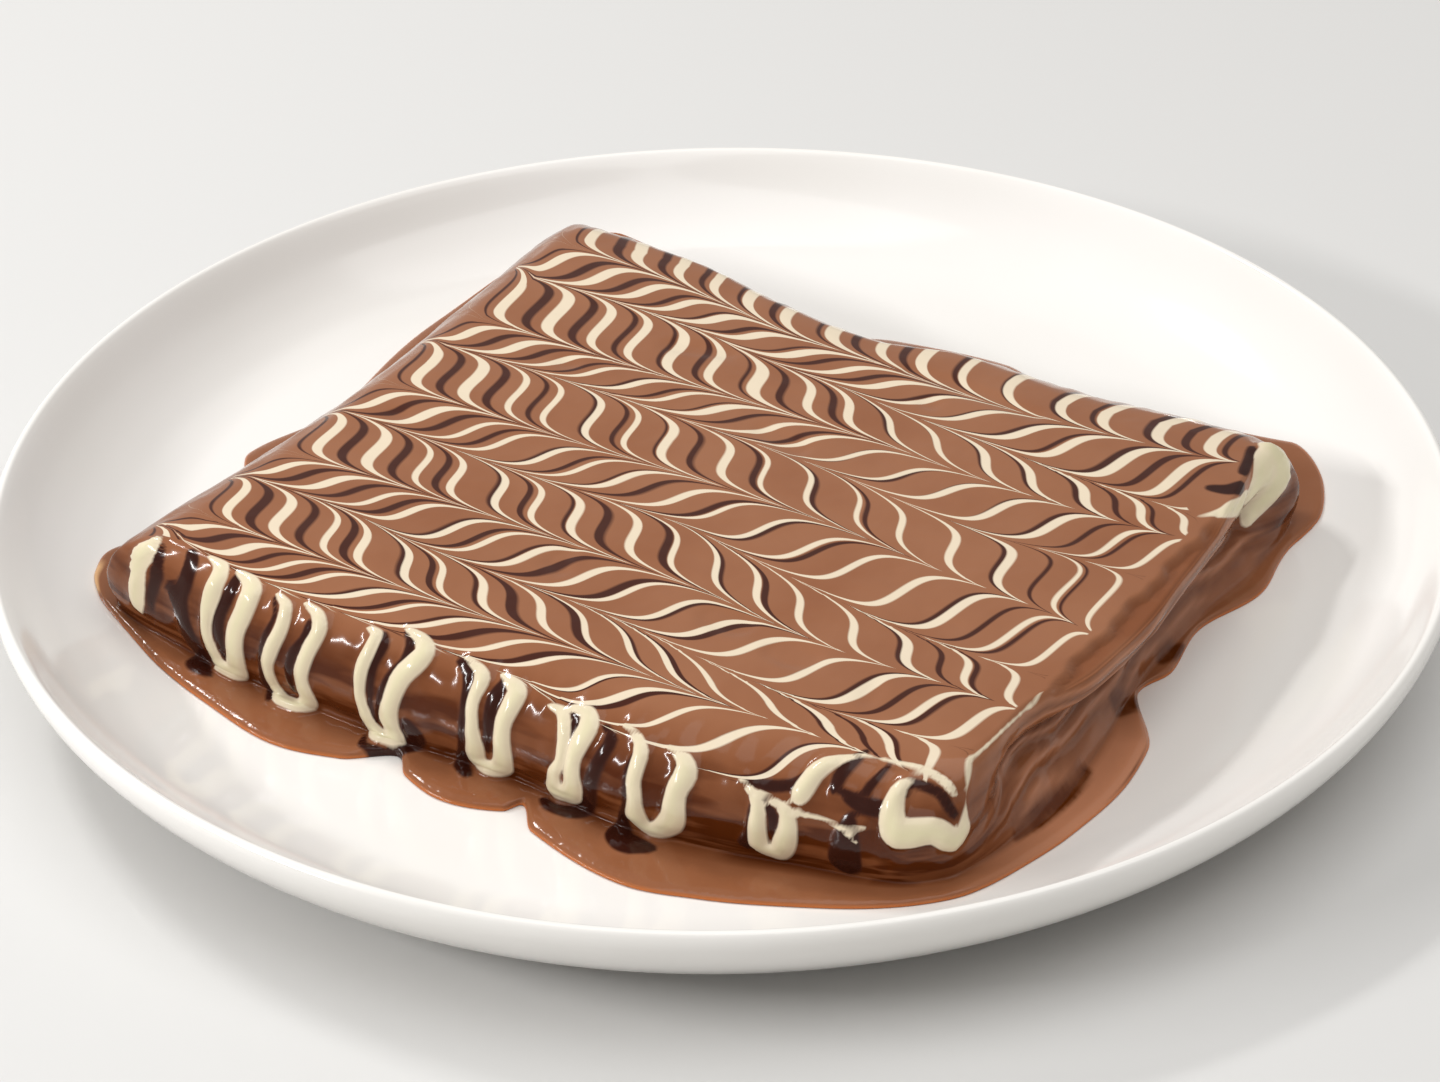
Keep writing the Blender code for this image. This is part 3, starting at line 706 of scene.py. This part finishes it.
def before_the_strokes(nodes, along, stroke, gap):
    """Where along the crepe a point's chocolate lay before the skewer moved it."""
    before = nodes.math("FLOOR", stroke)
    part = nodes.math("SUBTRACT", stroke, before)
    rest = nodes.math("SUBTRACT", 1, part)
    easing = nodes.ramp(along, 35, 86, 0, 0.5)
    reach = nodes.math("SUBTRACT", nodes.ramp(along, -75, 30, 0.95, 1.4), easing)
    first = stroke_pull(nodes, nodes.math("MULTIPLY", part, gap), reach)
    first = nodes.math("MULTIPLY", first, nodes.math("GREATER_THAN", before, 0.5))
    second = stroke_pull(nodes, nodes.math("MULTIPLY", rest, gap), reach)
    second = nodes.math("MULTIPLY", second, nodes.math("LESS_THAN", before, len(STROKES) - 0.5))
    odd = nodes.math("MODULO", before, 2)
    sign = nodes.math("SUBTRACT", nodes.math("MULTIPLY", odd, 2), 1)
    weakening = nodes.ramp(along, 35, 88, 0, 13)
    strength = nodes.math("SUBTRACT", nodes.ramp(along, -75, 30, 14, 18.2), weakening)
    moved = nodes.math("MULTIPLY", nodes.math("SUBTRACT", first, second), sign)
    return nodes.math("SUBTRACT", along, nodes.math("MULTIPLY", moved, strength))


def feathered_lines():
    """The node group, from a point's flat place and stroke number to its distances from the lines."""
    tree = bpy.data.node_groups.new("feathered lines", "ShaderNodeTree")
    for name in ("Along", "Across", "Stroke", "Gap"):
        tree.interface.new_socket(name, in_out="INPUT", socket_type="NodeSocketFloat")
    for name in ("White", "Dark"):
        tree.interface.new_socket(name, in_out="OUTPUT", socket_type="NodeSocketFloat")
    nodes = Nodes(tree)
    given = nodes.add("NodeGroupInput").outputs
    along, across = given["Along"], given["Across"]
    start = before_the_strokes(nodes, along, given["Stroke"], given["Gap"])

    share = to_share(nodes, start, ALONG_FROM, ALONG_SPAN)
    curves = []
    for row in WHITE_X:
        points = [(along_share(x), number_share(k)) for k, x in enumerate(row)]
        lead, tail = along_share(row[0] - 20), along_share(row[-1] + 10)
        curves.append(nodes.curve(share, [(0, 0), (lead, 0)] + points + [(tail, 0.95), (1, 1)]))
    number = from_share(nodes, rows_mixed(nodes, across, LINE_ROWS, curves))
    white = line_edge(nodes, number, across, WHITE_HALF)

    share = to_share(nodes, number, NUMBER_FROM, NUMBER_SPAN)
    curves = []
    for row in DARK_AT:
        points = [(number_share(at), number_share(k)) for k, at in enumerate(row)]
        curves.append(nodes.curve(share, [(0, 0)] + points + [(1, 1)]))
    number = from_share(nodes, rows_mixed(nodes, across, DARK_ROWS, curves))
    dark = line_edge(nodes, number, across, DARK_HALF)
    nodes.feed(nodes.add("NodeGroupOutput"), {"White": white, "Dark": dark})
    return tree


FEATHERED = feathered_lines()
print("feathered lines group has", len(FEATHERED.nodes), "nodes")

# %% [markdown]
# ## The chocolate's material
# One material colours the whole coat. Separate pieces for each line would never lie as flat as
# these do. Milk chocolate is the ground: warmer in soft clouds on the top. Painted shade makes it
# darker down the sides, darkest in broken bands low on them and dark in a groove at the right end,
# and painted light makes that end's layers and the sauce at its front lighter. The pool turns
# orange where it thins out at its edge, and a bare edge of crepe shows golden at the front left.
# How much of each tone a point has is stored on it in a later cell.

# %% Milk chocolate's tones
MILK, MILK_WARM = srgb(149, 99, 70), srgb(140, 89, 60)
# painted shade: darker down the sides, darkest low on them and in the right end's groove; painted light on
# that end's layers
SIDE_SHADE, LOW_SHADE, GROOVE_SHADE = srgb(126, 74, 44), srgb(76, 32, 6), srgb(84, 38, 8)
MILK_LIT = srgb(182, 124, 92)
WHITE_CHOCOLATE, WHITE_THICK = srgb(222, 206, 181), srgb(216, 207, 172)
DARK_CHOCOLATE, DARK_THICK = srgb(66, 32, 22), srgb(48, 19, 11)
THIN_SAUCE, BARE_CREPE = srgb(190, 108, 54), srgb(220, 172, 122)


def milk_tones(nodes, along, place):
    """The colour of the ground that the lines lie on, with its painted shade and painted light."""
    milk = nodes.colour(nodes.ramp(nodes.noise(place, 45.0, 3.0), 0.35, 0.7), MILK, MILK_WARM)
    streaks = nodes.noise(place, 130.0, 3.0)
    stretched = nodes.add("ShaderNodeCombineXYZ")
    nodes.feed(stretched, {"X": nodes.math("MULTIPLY", along, 0.05), "Y": nodes.attribute("ring")})
    bands = nodes.noise(stretched.outputs[0], 0.9, 2.0)
    # side, low and groove are painted shade, and lit is painted light; thin and bare are the sauce's and
    # the crepe's own colours
    tones = [
        ("side", nodes.ramp(streaks, 0.3, 0.6, 0.7, 1), SIDE_SHADE),
        ("low", nodes.ramp(bands, 0.42, 0.54, 0.35, 1), LOW_SHADE),
        ("groove", nodes.ramp(streaks, 0.3, 0.55, 0.6, 1), GROOVE_SHADE),
        ("lit", 1, MILK_LIT),
        ("thin", 1, THIN_SAUCE),
        ("bare", 1, BARE_CREPE),
    ]
    for name, broken, tone in tones:
        milk = nodes.colour(nodes.math("MULTIPLY", nodes.attribute(name), broken), milk, tone)
    return milk


print("the ground has 8 tones")

# %% [markdown]
# ## Laying the lines over the ground
# The line distances from the group and the drip distances stored on the points are joined, so that
# a line runs into its drip, and each gets a soft edge of a third to half a millimetre. Dark lies
# over milk and white over dark, as they were laid. Thick drips are a little deeper in tone than
# lines. The gloss is one low roughness all over. A ripple keeps the reflections from looking
# machined, and a finer grain breaks up the highlight on the pool's front edge.

# %% Chocolate
def chocolate():
    """The coat's material."""
    material, nodes, shader = principled("chocolate")
    place = nodes.object_place()
    along, end = nodes.attribute("along"), nodes.attribute("end")
    group = nodes.add("ShaderNodeGroup", {"node_tree": FEATHERED})
    for name in ("Across", "Stroke", "Gap"):
        nodes.feed(group, {name: nodes.attribute(name.lower())})
    nodes.feed(group, {"Along": along})
    white_drip, dark_drip = nodes.attribute("white_drip"), nodes.attribute("dark_drip")
    white = nodes.math("MAXIMUM", group.outputs["White"], end)
    white = nodes.math("SMOOTH_MIN", white, white_drip, 0.5)
    dark = nodes.math("MAXIMUM", group.outputs["Dark"], end)
    dark = nodes.math("SMOOTH_MIN", dark, dark_drip, 0.4)
    dark_tone = nodes.colour(nodes.ramp(dark_drip, 0.3, -0.6), DARK_CHOCOLATE, DARK_THICK)
    white_tone = nodes.colour(nodes.ramp(white_drip, 0.2, -1.8), WHITE_CHOCOLATE, WHITE_THICK)
    shade = nodes.colour(nodes.ramp(dark, 0.25, -0.3), milk_tones(nodes, along, place), dark_tone)
    shade = nodes.colour(nodes.ramp(white, 0.18, -0.18), shade, white_tone)
    grain = nodes.math("MULTIPLY", nodes.noise(place, 700.0, 1.0), nodes.attribute("rim"))
    height = nodes.math("MULTIPLY_ADD", grain, 0.3, nodes.noise(place, 110.0, 2.0))
    nodes.feed(shader, {"Base Color": shade, "Normal": nodes.bump(height, 0.3, 0.0012)})
    nodes.feed(shader, {"Roughness": 0.12, "IOR": 1.45, "Specular IOR Level": 0.25})
    return material


CHOCOLATE = chocolate()
print("chocolate has", len(CHOCOLATE.node_tree.nodes), "nodes")

# %% [markdown]
# ## The coat
# A grid makes the top. Its border is extruded down the side in fine rings, out over the pool, round
# the pool's edge, and back up inside, so that the coat is one closed skin. Finer rings than the
# CAD's follow the same curves.

# %% Build the coat
ALONG_CELLS, ACROSS_CELLS, SIDE_RINGS = 280, 140, 34
POOL_PROFILE = [
    (0.03, 1.82), (0.08, 1.68), (0.15, 1.58), (0.25, 1.52), (0.38, 1.5), (0.52, 1.5), (0.66, 1.48),
    (0.76, 1.42), (0.84, 1.26), (0.9, 1.1), (0.95, 0.86), (0.98, 0.6), (1.0, 0.3), (0.99, 0.12),
]


def build_coat():
    """The coat as an object, with its u, v, ring and pool share on every point."""
    bm = bmesh.new()
    bmesh.ops.create_grid(bm, x_segments=ALONG_CELLS, y_segments=ACROSS_CELLS, size=1)
    layers = {name: bm.verts.layers.float.new(name) for name in ("u", "v", "ring", "pool", "inner")}
    u, v = np.array([(vert.co.x, vert.co.y) for vert in bm.verts]).T
    points = np.column_stack([top_plan(u, v), top_heights(u, v)])
    for vert, point, at_u, at_v in zip(bm.verts, points, u, v):
        vert.co = Vector(point) * MM
        vert[layers["u"]], vert[layers["v"]] = at_u, at_v
    border = [edge for edge in bm.edges if edge.is_boundary]
    for step in range(1, SIDE_RINGS + 1):
        ring = LAST_RING * step / SIDE_RINGS
        border = extrude_ring(bm, border, layers, lambda place: side_points(place, ring), {"ring": ring})
    for share, lift in POOL_PROFILE:
        marks = {"ring": LAST_RING, "pool": share}
        border = extrude_ring(bm, border, layers, lambda place: pool_points(place, share, lift), marks)
    for share in (0.5, 0):
        marks = {"ring": LAST_RING, "pool": share, "inner": 1}
        border = extrude_ring(bm, border, layers, lambda place: pool_points(place, share, GAP, COAT), marks)
    for ring in range(LAST_RING - 1, -1, -1):
        marks = {"ring": ring, "inner": 1, "pool": 0}
        border = extrude_ring(bm, border, layers, lambda place: side_points(place, ring, COAT), marks)
    bmesh.ops.edgeloop_fill(bm, edges=border)
    return finish_mesh(bm, "coat", CHOCOLATE)


coat = build_coat()
print("coat has", len(coat.data.vertices), "points and", 2 * len(coat.data.polygons), "triangles")

# %% [markdown]
# ## Unfolding the coat
# For the pattern every point needs a place on one flat sheet: its plan place on the top, and past
# the edge as far out as the skin's own length down the side. The ends of the lines, the strokes
# and the drips are all measured on that sheet.

# %% Unfold the coat
def unfold(piece):
    """Each point's along, across and distance past the top's edge in mm, place, ring and pool share."""
    u, v, ring, pool = [layer_of(piece, name) for name in ("u", "v", "ring", "pool")]
    place = place_of(u, v)
    # the skin's length from the top's edge at a few hundred places, looked up for each point
    steps = np.linspace(0, 4, 801)
    rings = np.linspace(0, LAST_RING, 33)
    columns = np.stack([side_points(steps, at) for at in rings])
    parts = np.linalg.norm(np.diff(columns, axis=0), axis=2)
    lengths = np.concatenate([np.zeros((1, len(steps))), np.cumsum(parts, 0)])
    column = np.clip(place % 4 * 200, 0, 799.999)
    row = ring / LAST_RING * 32
    i, j = column.astype(int), np.minimum(row.astype(int), 31)
    a, b = column - i, row - j
    low = lengths[j, i] * (1 - a) + lengths[j, i + 1] * a
    high = lengths[j + 1, i] * (1 - a) + lengths[j + 1, i + 1] * a
    past = low * (1 - b) + high * b
    run = np.linalg.norm(outline(POOL, place) - outline(BASE, place), axis=1)
    past = np.where(ring > 0, past + pool * run, 0)
    flat = top_plan(u, v) + past[:, None] * outward(place)
    return flat[:, 0], flat[:, 1], past, place, ring, pool


along, across, past, place, ring, pool = unfold(coat)
on_front = place % 4 < 1
flat_box = [along.min(), along.max(), across.min(), across.max()]
print("flat sheet runs", np.round(flat_box, 1).tolist())

# %% [markdown]
# ## What each point carries for the pattern
# The strokes, drips and lines are looked up on the flat sheet and stored on the points. The lines
# don't run down to the plate. On the front they stop along the last stroke, at the right edge just
# short of it, and on the other sides a little way down. A point past that limit gets a positive
# number, which the material takes as its distance from any line.

# %% Lines and drips for each point
END_X = [-72, -50, -10, 5, 20, 40, 50, 60, 65, 69, 78, 84, 90]
END_Y = [73.6, 76.8, 76.3, 76.1, 78, 78.8, 78.4, 76.5, 68, 65.8, 64.8, 64.8, 66]
RIGHT_Y = [-66, -62, 26, 30, 47, 52]
RIGHT_X = [88, 85.3, 85.3, 80.5, 81, 84.5]
OTHER_SIDES_END = 9
flat = np.column_stack([along, across])
solid = points_of(coat)
white_drip = np.minimum(lines_distance(flat, WHITE_DRIPS), lines_distance(solid, WHITE_BLOBS))
dark_drip = np.minimum(lines_distance(flat, DARK_DRIPS), lines_distance(solid, DARK_BLOBS))
stroke, gap = stroke_numbers(along, across)
lowest = between(np.clip(along, END_X[0], END_X[-1]), END_X, END_Y)
end = np.where(on_front, -across - lowest, past - OTHER_SIDES_END)
end = np.maximum(end, along - np.interp(across, RIGHT_Y, RIGHT_X))
pattern = {"along": along, "across": across, "stroke": stroke, "gap": gap, "end": end}
pattern.update(white_drip=white_drip, dark_drip=dark_drip)
for name, values in pattern.items():
    store(coat, name, values)
print("white drips cover", int((white_drip < 0).sum()), "points and dark ones", int((dark_drip < 0).sum()))

# %% [markdown]
# ## The right end
# The crepe's fold is open at the right. Its upper layer ends in a wavy ledge just below the top's
# edge, a groove runs under it, and thin layers of batter show as fine bands. The groove is in the
# coat's shape already. The ledge and the bands are worked out here, for the tones and the relief
# alike: painted shade on the ledge and in the bands' hollows, and painted light on their crests.
# Three dark streaks of painted shade and the dark edge of one lobe lie on the sauce there.

# %% Layers, ledge and streaks of painted shade
# dark streaks of painted shade on the sauce by the right end
STREAK_SHADES = [
    [(90.2, -49.4, 0.4), (91.2, -41.7, 1.2), (91.8, -33.6, 1.2), (91, -26, 0.9)],
    [(87.2, -8.2, 0.8), (88.2, -4.6, 1.3), (88.6, -1.2, 0.8)],
    [(86.6, 11, 0.6), (87, 14.5, 1.2), (87.4, 17.5, 0.6)],
]


def rise(value, start, stop):
    """0 up to start, 1 from stop on and straight between. It falls where stop is the lower one."""
    return np.clip((value - start) / (stop - start), 0, 1)


right_end = rise(place, 1.0, 1.16) * rise(place, 1.97, 1.89)
front_lobe = rise(place, 1.48, 1.38)
layer = np.sin(5.2 * ring + 1.5 * np.sin(0.12 * across) + 0.8 * np.sin(0.31 * across))
layers_seen = right_end * rise(ring, 0.6, 1.6) * rise(ring, 8, 7)
ledge_x = 86.9 + 0.45 * np.sin(0.35 * across) + 0.25 * np.sin(0.9 * across + 1)
ledge = rise(solid[:, 0] - ledge_x, 0, 0.9) * rise(ring, 3, 0.5)
ledge = ledge * rise(across, -54, -46) * rise(across, 32, 26)
# painted shade along the streaks, on the sauce only
streak_shade = np.where(ring > 6, rise(lines_distance(solid[:, :2], STREAK_SHADES), 0.8, -0.2), 0)
lobe_edge = rise(pool, 0.9, 0.95) * rise(abs(place - 1.33), 0.1, 0)
print("ledge on", int((ledge > 0.5).sum()), "points, streak_shades on", int((streak_shade > 0.5).sum()))

# %% [markdown]
# ## Tones for the sides and the pool
# Each tone is a share from 0 to 1 on every point: how far down the side it is, how deep in the
# groove, how near the pool's edge. The side, low and groove tones are painted shade, and lit is
# painted light. They are made of straight ramps and a soft bell, because the material breaks them
# up with noise in any case.

# %% Store the tones
# painted shade in the groove, between the layers and along the dark streaks; the lobe's dark edge takes the
# same tone
groove_width = 1.4 - 0.5 * front_lobe
groove = right_end * np.exp(-((ring - 4.7) / groove_width) ** 2) * (1 - 0.6 * front_lobe)
groove = np.max([groove, streak_shade, 0.7 * lobe_edge, 0.55 * layers_seen * np.clip(-layer, 0, 1) ** 3], axis=0)
# painted light on the sauce at the right end's front and on the layers' crests
lit = right_end * front_lobe * rise(pool, 0, 0.2) * (1 - np.maximum(streak_shade, lobe_edge))
lit = lit + 0.6 * layers_seen * np.clip(layer, 0, 1) ** 2
# how much of the painted side shade stays: less on the pool, least on the sauce at the right end's front
keep = 1 - rise(pool, 0, 1 / 3) * (0.5 + 0.4 * right_end * front_lobe)
keep = keep * (1 - 0.55 * right_end * front_lobe)
tones = {
    # painted shade down the sides and on the ledge
    "side": np.maximum(rise(ring, 1.5, 3), ledge) * keep,
    # painted shade low on the sides, in broken bands
    "low": rise(ring, 2.5, 4) * rise(pool, 0.25, 0) * (1 - 0.88 * right_end),
    # painted shade in the groove and along the streaks
    "groove": groove,
    # painted light
    "lit": np.clip(lit, 0, 1),
    "thin": rise(pool, 0.965, 1),
    "bare": rise(pool, 0.86, 0.92) * rise(abs(place % 4 - 3.97), 0.04, 0.02),
    "rim": rise(pool, 0.75, 0.9) * on_front,
}
for name, values in tones.items():
    store(coat, name, values)
print("stored", sorted(tones))

# %% [markdown]
# ## Relief
# The thick drips stand out from the side by over a millimetre, with round backs, and the dark ones
# less. The points are pushed out along the direction that the skin faces. Bump in the material
# could fake this from one side, but not at the outline or in the mesh itself. The same move adds
# dimples that the skewer left in the top, faint waves on the sides, and the right end's layers. The
# ledge is a small step straight down.

# %% Helpers for the relief
def raise_points(piece, amounts, directions):
    """Moves each point of a piece by an amount in mm along its direction."""
    moved = points_of(piece) + directions * np.asarray(amounts)[:, None]
    piece.data.vertices.foreach_set("co", (moved * MM).astype(np.float32).ravel())
    piece.data.update()


def round_back(distance, start, reach, height):
    """The rise in mm of a drip with a round back, from the distance to its edge."""
    share = np.clip((start - distance) / reach, 0, 1)
    return height * share * (2 - share)


# a drip rises outwards on the side and upwards on the pool, turning smoothly between the two
tilt = np.interp(ring + 2 * pool, [0, 1, 2.5, 4, 6, 8, 9], [1.5, 1.25, 0.8, 0.35, 0.35, 0.8, 1.3])
facing = np.column_stack([outward(place) * np.cos(tilt)[:, None], np.sin(tilt)])
outer = (layer_of(coat, "inner") < 0.5) & (pool < 0.95)
print("relief may move", int(outer.sum()), "points")

# %% Raise the drips, waves and layers
DIMPLES = [
    [(14, 46, 0.3), (28, 45, 0.8), (42, 43.5, 0.3)],
    [(22.6, 37, 0.4), (23.6, 37, 0.4)],
    [(-61.5, -18, 0.5), (-60.5, -18, 0.5)],
    [(-44.5, 14, 0.4), (-43.5, 14, 0.4)],
    [(-6, -41, 0.3), (-6.5, -44, 0.7), (-4, -47, 0.3)],
    [(62, -49, 0.2), (63, -53, 0.4)],
    [(43, -48, 2), (47, -48, 2)],
    [(28, -45, 2), (32, -45, 2)],
    [(-30, 30, 1), (-20, 33, 1)],
    [(2, 12, 1), (10, 10, 1.5)],
]
LEDGE_STEP = 1.4
dimple = np.clip(lines_distance(flat, DIMPLES), 0, None)
hollow = 0.35 * np.exp(-(dimple / 1.6) ** 2) * (ring < 0.5)
fade = rise(past, 1.5, 6)
sides = rise(ring, 1.2, 2.2) * rise(ring, 7.8, 6.3)
waves = np.sin(0.52 * along + 0.31 * across) + np.sin(0.83 * along - 0.44 * across + 1.3)
waves = 0.06 * sides * (waves + np.sin(1.31 * along + 0.9 * np.sin(0.4 * across)))
foot_swell = 1 + 0.5 * np.clip(ring - 6.5, 0, 1.5)
white_rise = round_back(white_drip, 0.4, 2.0, 1.3) * fade * foot_swell
dark_rise = round_back(dark_drip, 0.3, 1.8, 0.6) * fade
relief = np.maximum(white_rise, dark_rise) + waves + 0.4 * layers_seen * sides * layer - hollow
raise_points(coat, np.where(outer, relief, 0), facing)
raise_points(coat, np.where(outer, -LEDGE_STEP * ledge, 0), np.array([0, 0, 1.0]))
print("drips rise", round(float(white_rise.max()), 2), "mm")

# %% [markdown]
# ## The crepe under its coat
# The CAD's crepe stays as it is, because the coat hides all of it. It still gets baked batter's
# finish: golden, with brown spots where it lay on the hot pan, and a slightly uneven skin.

# %% Baked crepe
def golden_crepe():
    """The finish of the CAD's crepe."""
    material, nodes, shader = principled("golden crepe")
    spots = nodes.noise(nodes.object_place(), 60.0, 4.0)
    tone = nodes.colour(nodes.ramp(spots, 0.48, 0.66), srgb(214, 164, 98), srgb(142, 86, 42))
    normal = nodes.bump(spots, 0.4, 0.0005)
    nodes.feed(shader, {"Base Color": tone, "Roughness": 0.6, "Normal": normal})
    return material


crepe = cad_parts["crepe"]
crepe.data.materials.clear()
crepe.data.materials.append(golden_crepe())
print("crepe wears", crepe.data.materials[0].name)

# %% [markdown]
# ## The plate
# A coupe plate is a turned shape, so its profile is spun round the upright axis in fine steps. Its
# glaze is white porcelain, slightly warm, with a clear sharp reflection and the faint unevenness in
# tone, gloss and level that a dipped glaze has.

# %% Plate
RIM = [
    (133.7, 24.4), (134.0, 24.66), (134.4, 24.78), (134.8, 24.72), (135.2, 24.45), (135.5, 24.0),
    (135.7, 23.4),
]
UNDERSIDE = [(112, 4.9), (105, 4.6), (88, 4.3), (84.5, 4.0), (82.6, 1.0), (82, 0)]
FOOT = [(79.6, 0), (79, 1.0), (77.5, 4.0), (40, 4.0), (0, 4.0)]
SPIN_STEPS = 256


def porcelain():
    """The plate's glaze."""
    material, nodes, shader = principled("white glaze")
    place = nodes.object_place()
    cloud = nodes.noise(place, 16.0, 2.0)
    tone = nodes.colour(nodes.ramp(cloud, 0.35, 0.65), srgb(238, 235, 231), srgb(234, 231, 226))
    gloss = nodes.ramp(cloud, 0.3, 0.7, 0.1, 0.15)
    normal = nodes.bump(nodes.noise(place, 55.0, 1.0), 0.05, 0.0006)
    nodes.feed(shader, {"Base Color": tone, "Roughness": gloss, "IOR": 1.5, "Normal": normal})
    return material


def plate_profile():
    """Radius and height of the plate, from its middle over the rim to its underside."""
    radii = list(np.linspace(0, 95, 6)) + list(np.linspace(98, 133, 30))
    heights = between(np.array(radii), *zip(*PLATE_INSIDE))
    wall = [(135.8 - 14 * ((22.5 - z) / 16.5) ** 1.6, z) for z in np.linspace(22.4, 6, 16)]
    return list(zip(radii, heights)) + RIM + wall + UNDERSIDE + FOOT


def build_plate():
    """The plate, spun from its profile."""
    bm = bmesh.new()
    verts = [bm.verts.new((radius * MM, 0, height * MM)) for radius, height in plate_profile()]
    edges = [bm.edges.new(pair) for pair in zip(verts, verts[1:])]
    bmesh.ops.spin(
        bm, geom=verts + edges, cent=(0, 0, 0), axis=(0, 0, 1), angle=2 * math.pi,
        steps=SPIN_STEPS, use_merge=True, use_duplicate=False,
    )
    bmesh.ops.remove_doubles(bm, verts=bm.verts, dist=1e-6)
    return finish_mesh(bm, "glazed_plate", porcelain())


glazed_plate = build_plate()
print("plate has", 2 * len(glazed_plate.data.polygons), "triangles at most")

# %% [markdown]
# ## Floor and light
# The object stands on a plain pale floor under soft light: a bright room all round, a large soft
# panel above, and two narrow panels on the left. Large panels alone would leave the sauce looking
# dull. The narrow ones show in it as the thin bright streaks along the front.

# %% Floor and light
def panel(name, place, size, watts):
    """A soft rectangular light at a place in metres, turned to the crepe."""
    light = bpy.data.lights.new(name, "AREA")
    light.shape = "RECTANGLE"
    light.size, light.size_y = size
    light.energy = watts
    lamp = bpy.data.objects.new(name, light)
    bpy.context.scene.collection.objects.link(lamp)
    lamp.location = place
    lamp.rotation_euler = (Vector((0, 0, 0.02)) - Vector(place)).to_track_quat("-Z", "Y").to_euler()
    return lamp


def build_floor():
    """A pale floor, eight metres wide."""
    material, nodes, shader = principled("floor")
    nodes.feed(shader, {"Base Color": srgb(212, 211, 209), "Roughness": 0.7})
    bm = bmesh.new()
    bmesh.ops.create_grid(bm, x_segments=1, y_segments=1, size=4)
    return finish_mesh(bm, "floor", material)


floor = build_floor()
world = bpy.data.worlds.new("room")
world.use_nodes = True
room = world.node_tree.nodes["Background"]
Nodes(world.node_tree).feed(room, {"Color": (1.0, 0.985, 0.965, 1), "Strength": 0.46})
bpy.context.scene.world = world
bpy.context.scene.view_settings.view_transform = "Standard"
panel("top_light", (0.28, -0.05, 1.35), (1.3, 1.3), 8.7)
panel("left_light", (-0.70, -0.88, 0.62), (0.6, 0.04), 8)
panel("window_light", (-0.78, 0.1, 0.9), (0.25, 0.08), 4)
print("floor and", len(bpy.data.lights), "lights")

# %% [markdown]
# ## Camera
# The photograph looks down at the crepe from off its front right corner, with a long lens. The
# plate's ellipse gave the angle and the distance. A small shift frames the plate as the photograph
# does, and a slight roll levels it.

# %% Camera
CAMERA_PLACE, LOOKS_AT = (0.3511, -0.5406, 0.4276), (0, 0, 0.024)
LENS_MM, SHIFT, ROLL_DEGREES = 102.1, (-0.0015, -0.0393), -0.95
camera_data = bpy.data.cameras.new("camera")
camera_data.lens = LENS_MM
camera_data.shift_x, camera_data.shift_y = SHIFT
camera = bpy.data.objects.new("camera", camera_data)
bpy.context.scene.collection.objects.link(camera)
camera.location = CAMERA_PLACE
camera.rotation_euler = (Vector(LOOKS_AT) - camera.location).to_track_quat("-Z", "Y").to_euler()
camera.rotation_euler.rotate_axis("Z", math.radians(ROLL_DEGREES))
bpy.context.scene.camera = camera
print("camera at", [round(value, 3) for value in camera.location])

# %% [markdown]
# ## Riding the frame
# Each piece rides on the one CAD body, and the CAD node that it replaces is hidden.

# %% Put the pieces in the frame
for piece, node, slot in ((glazed_plate, "plate", "glaze"), (coat, "chocolate_coat", "milk_chocolate")):
    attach(piece, "root")
    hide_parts(node)
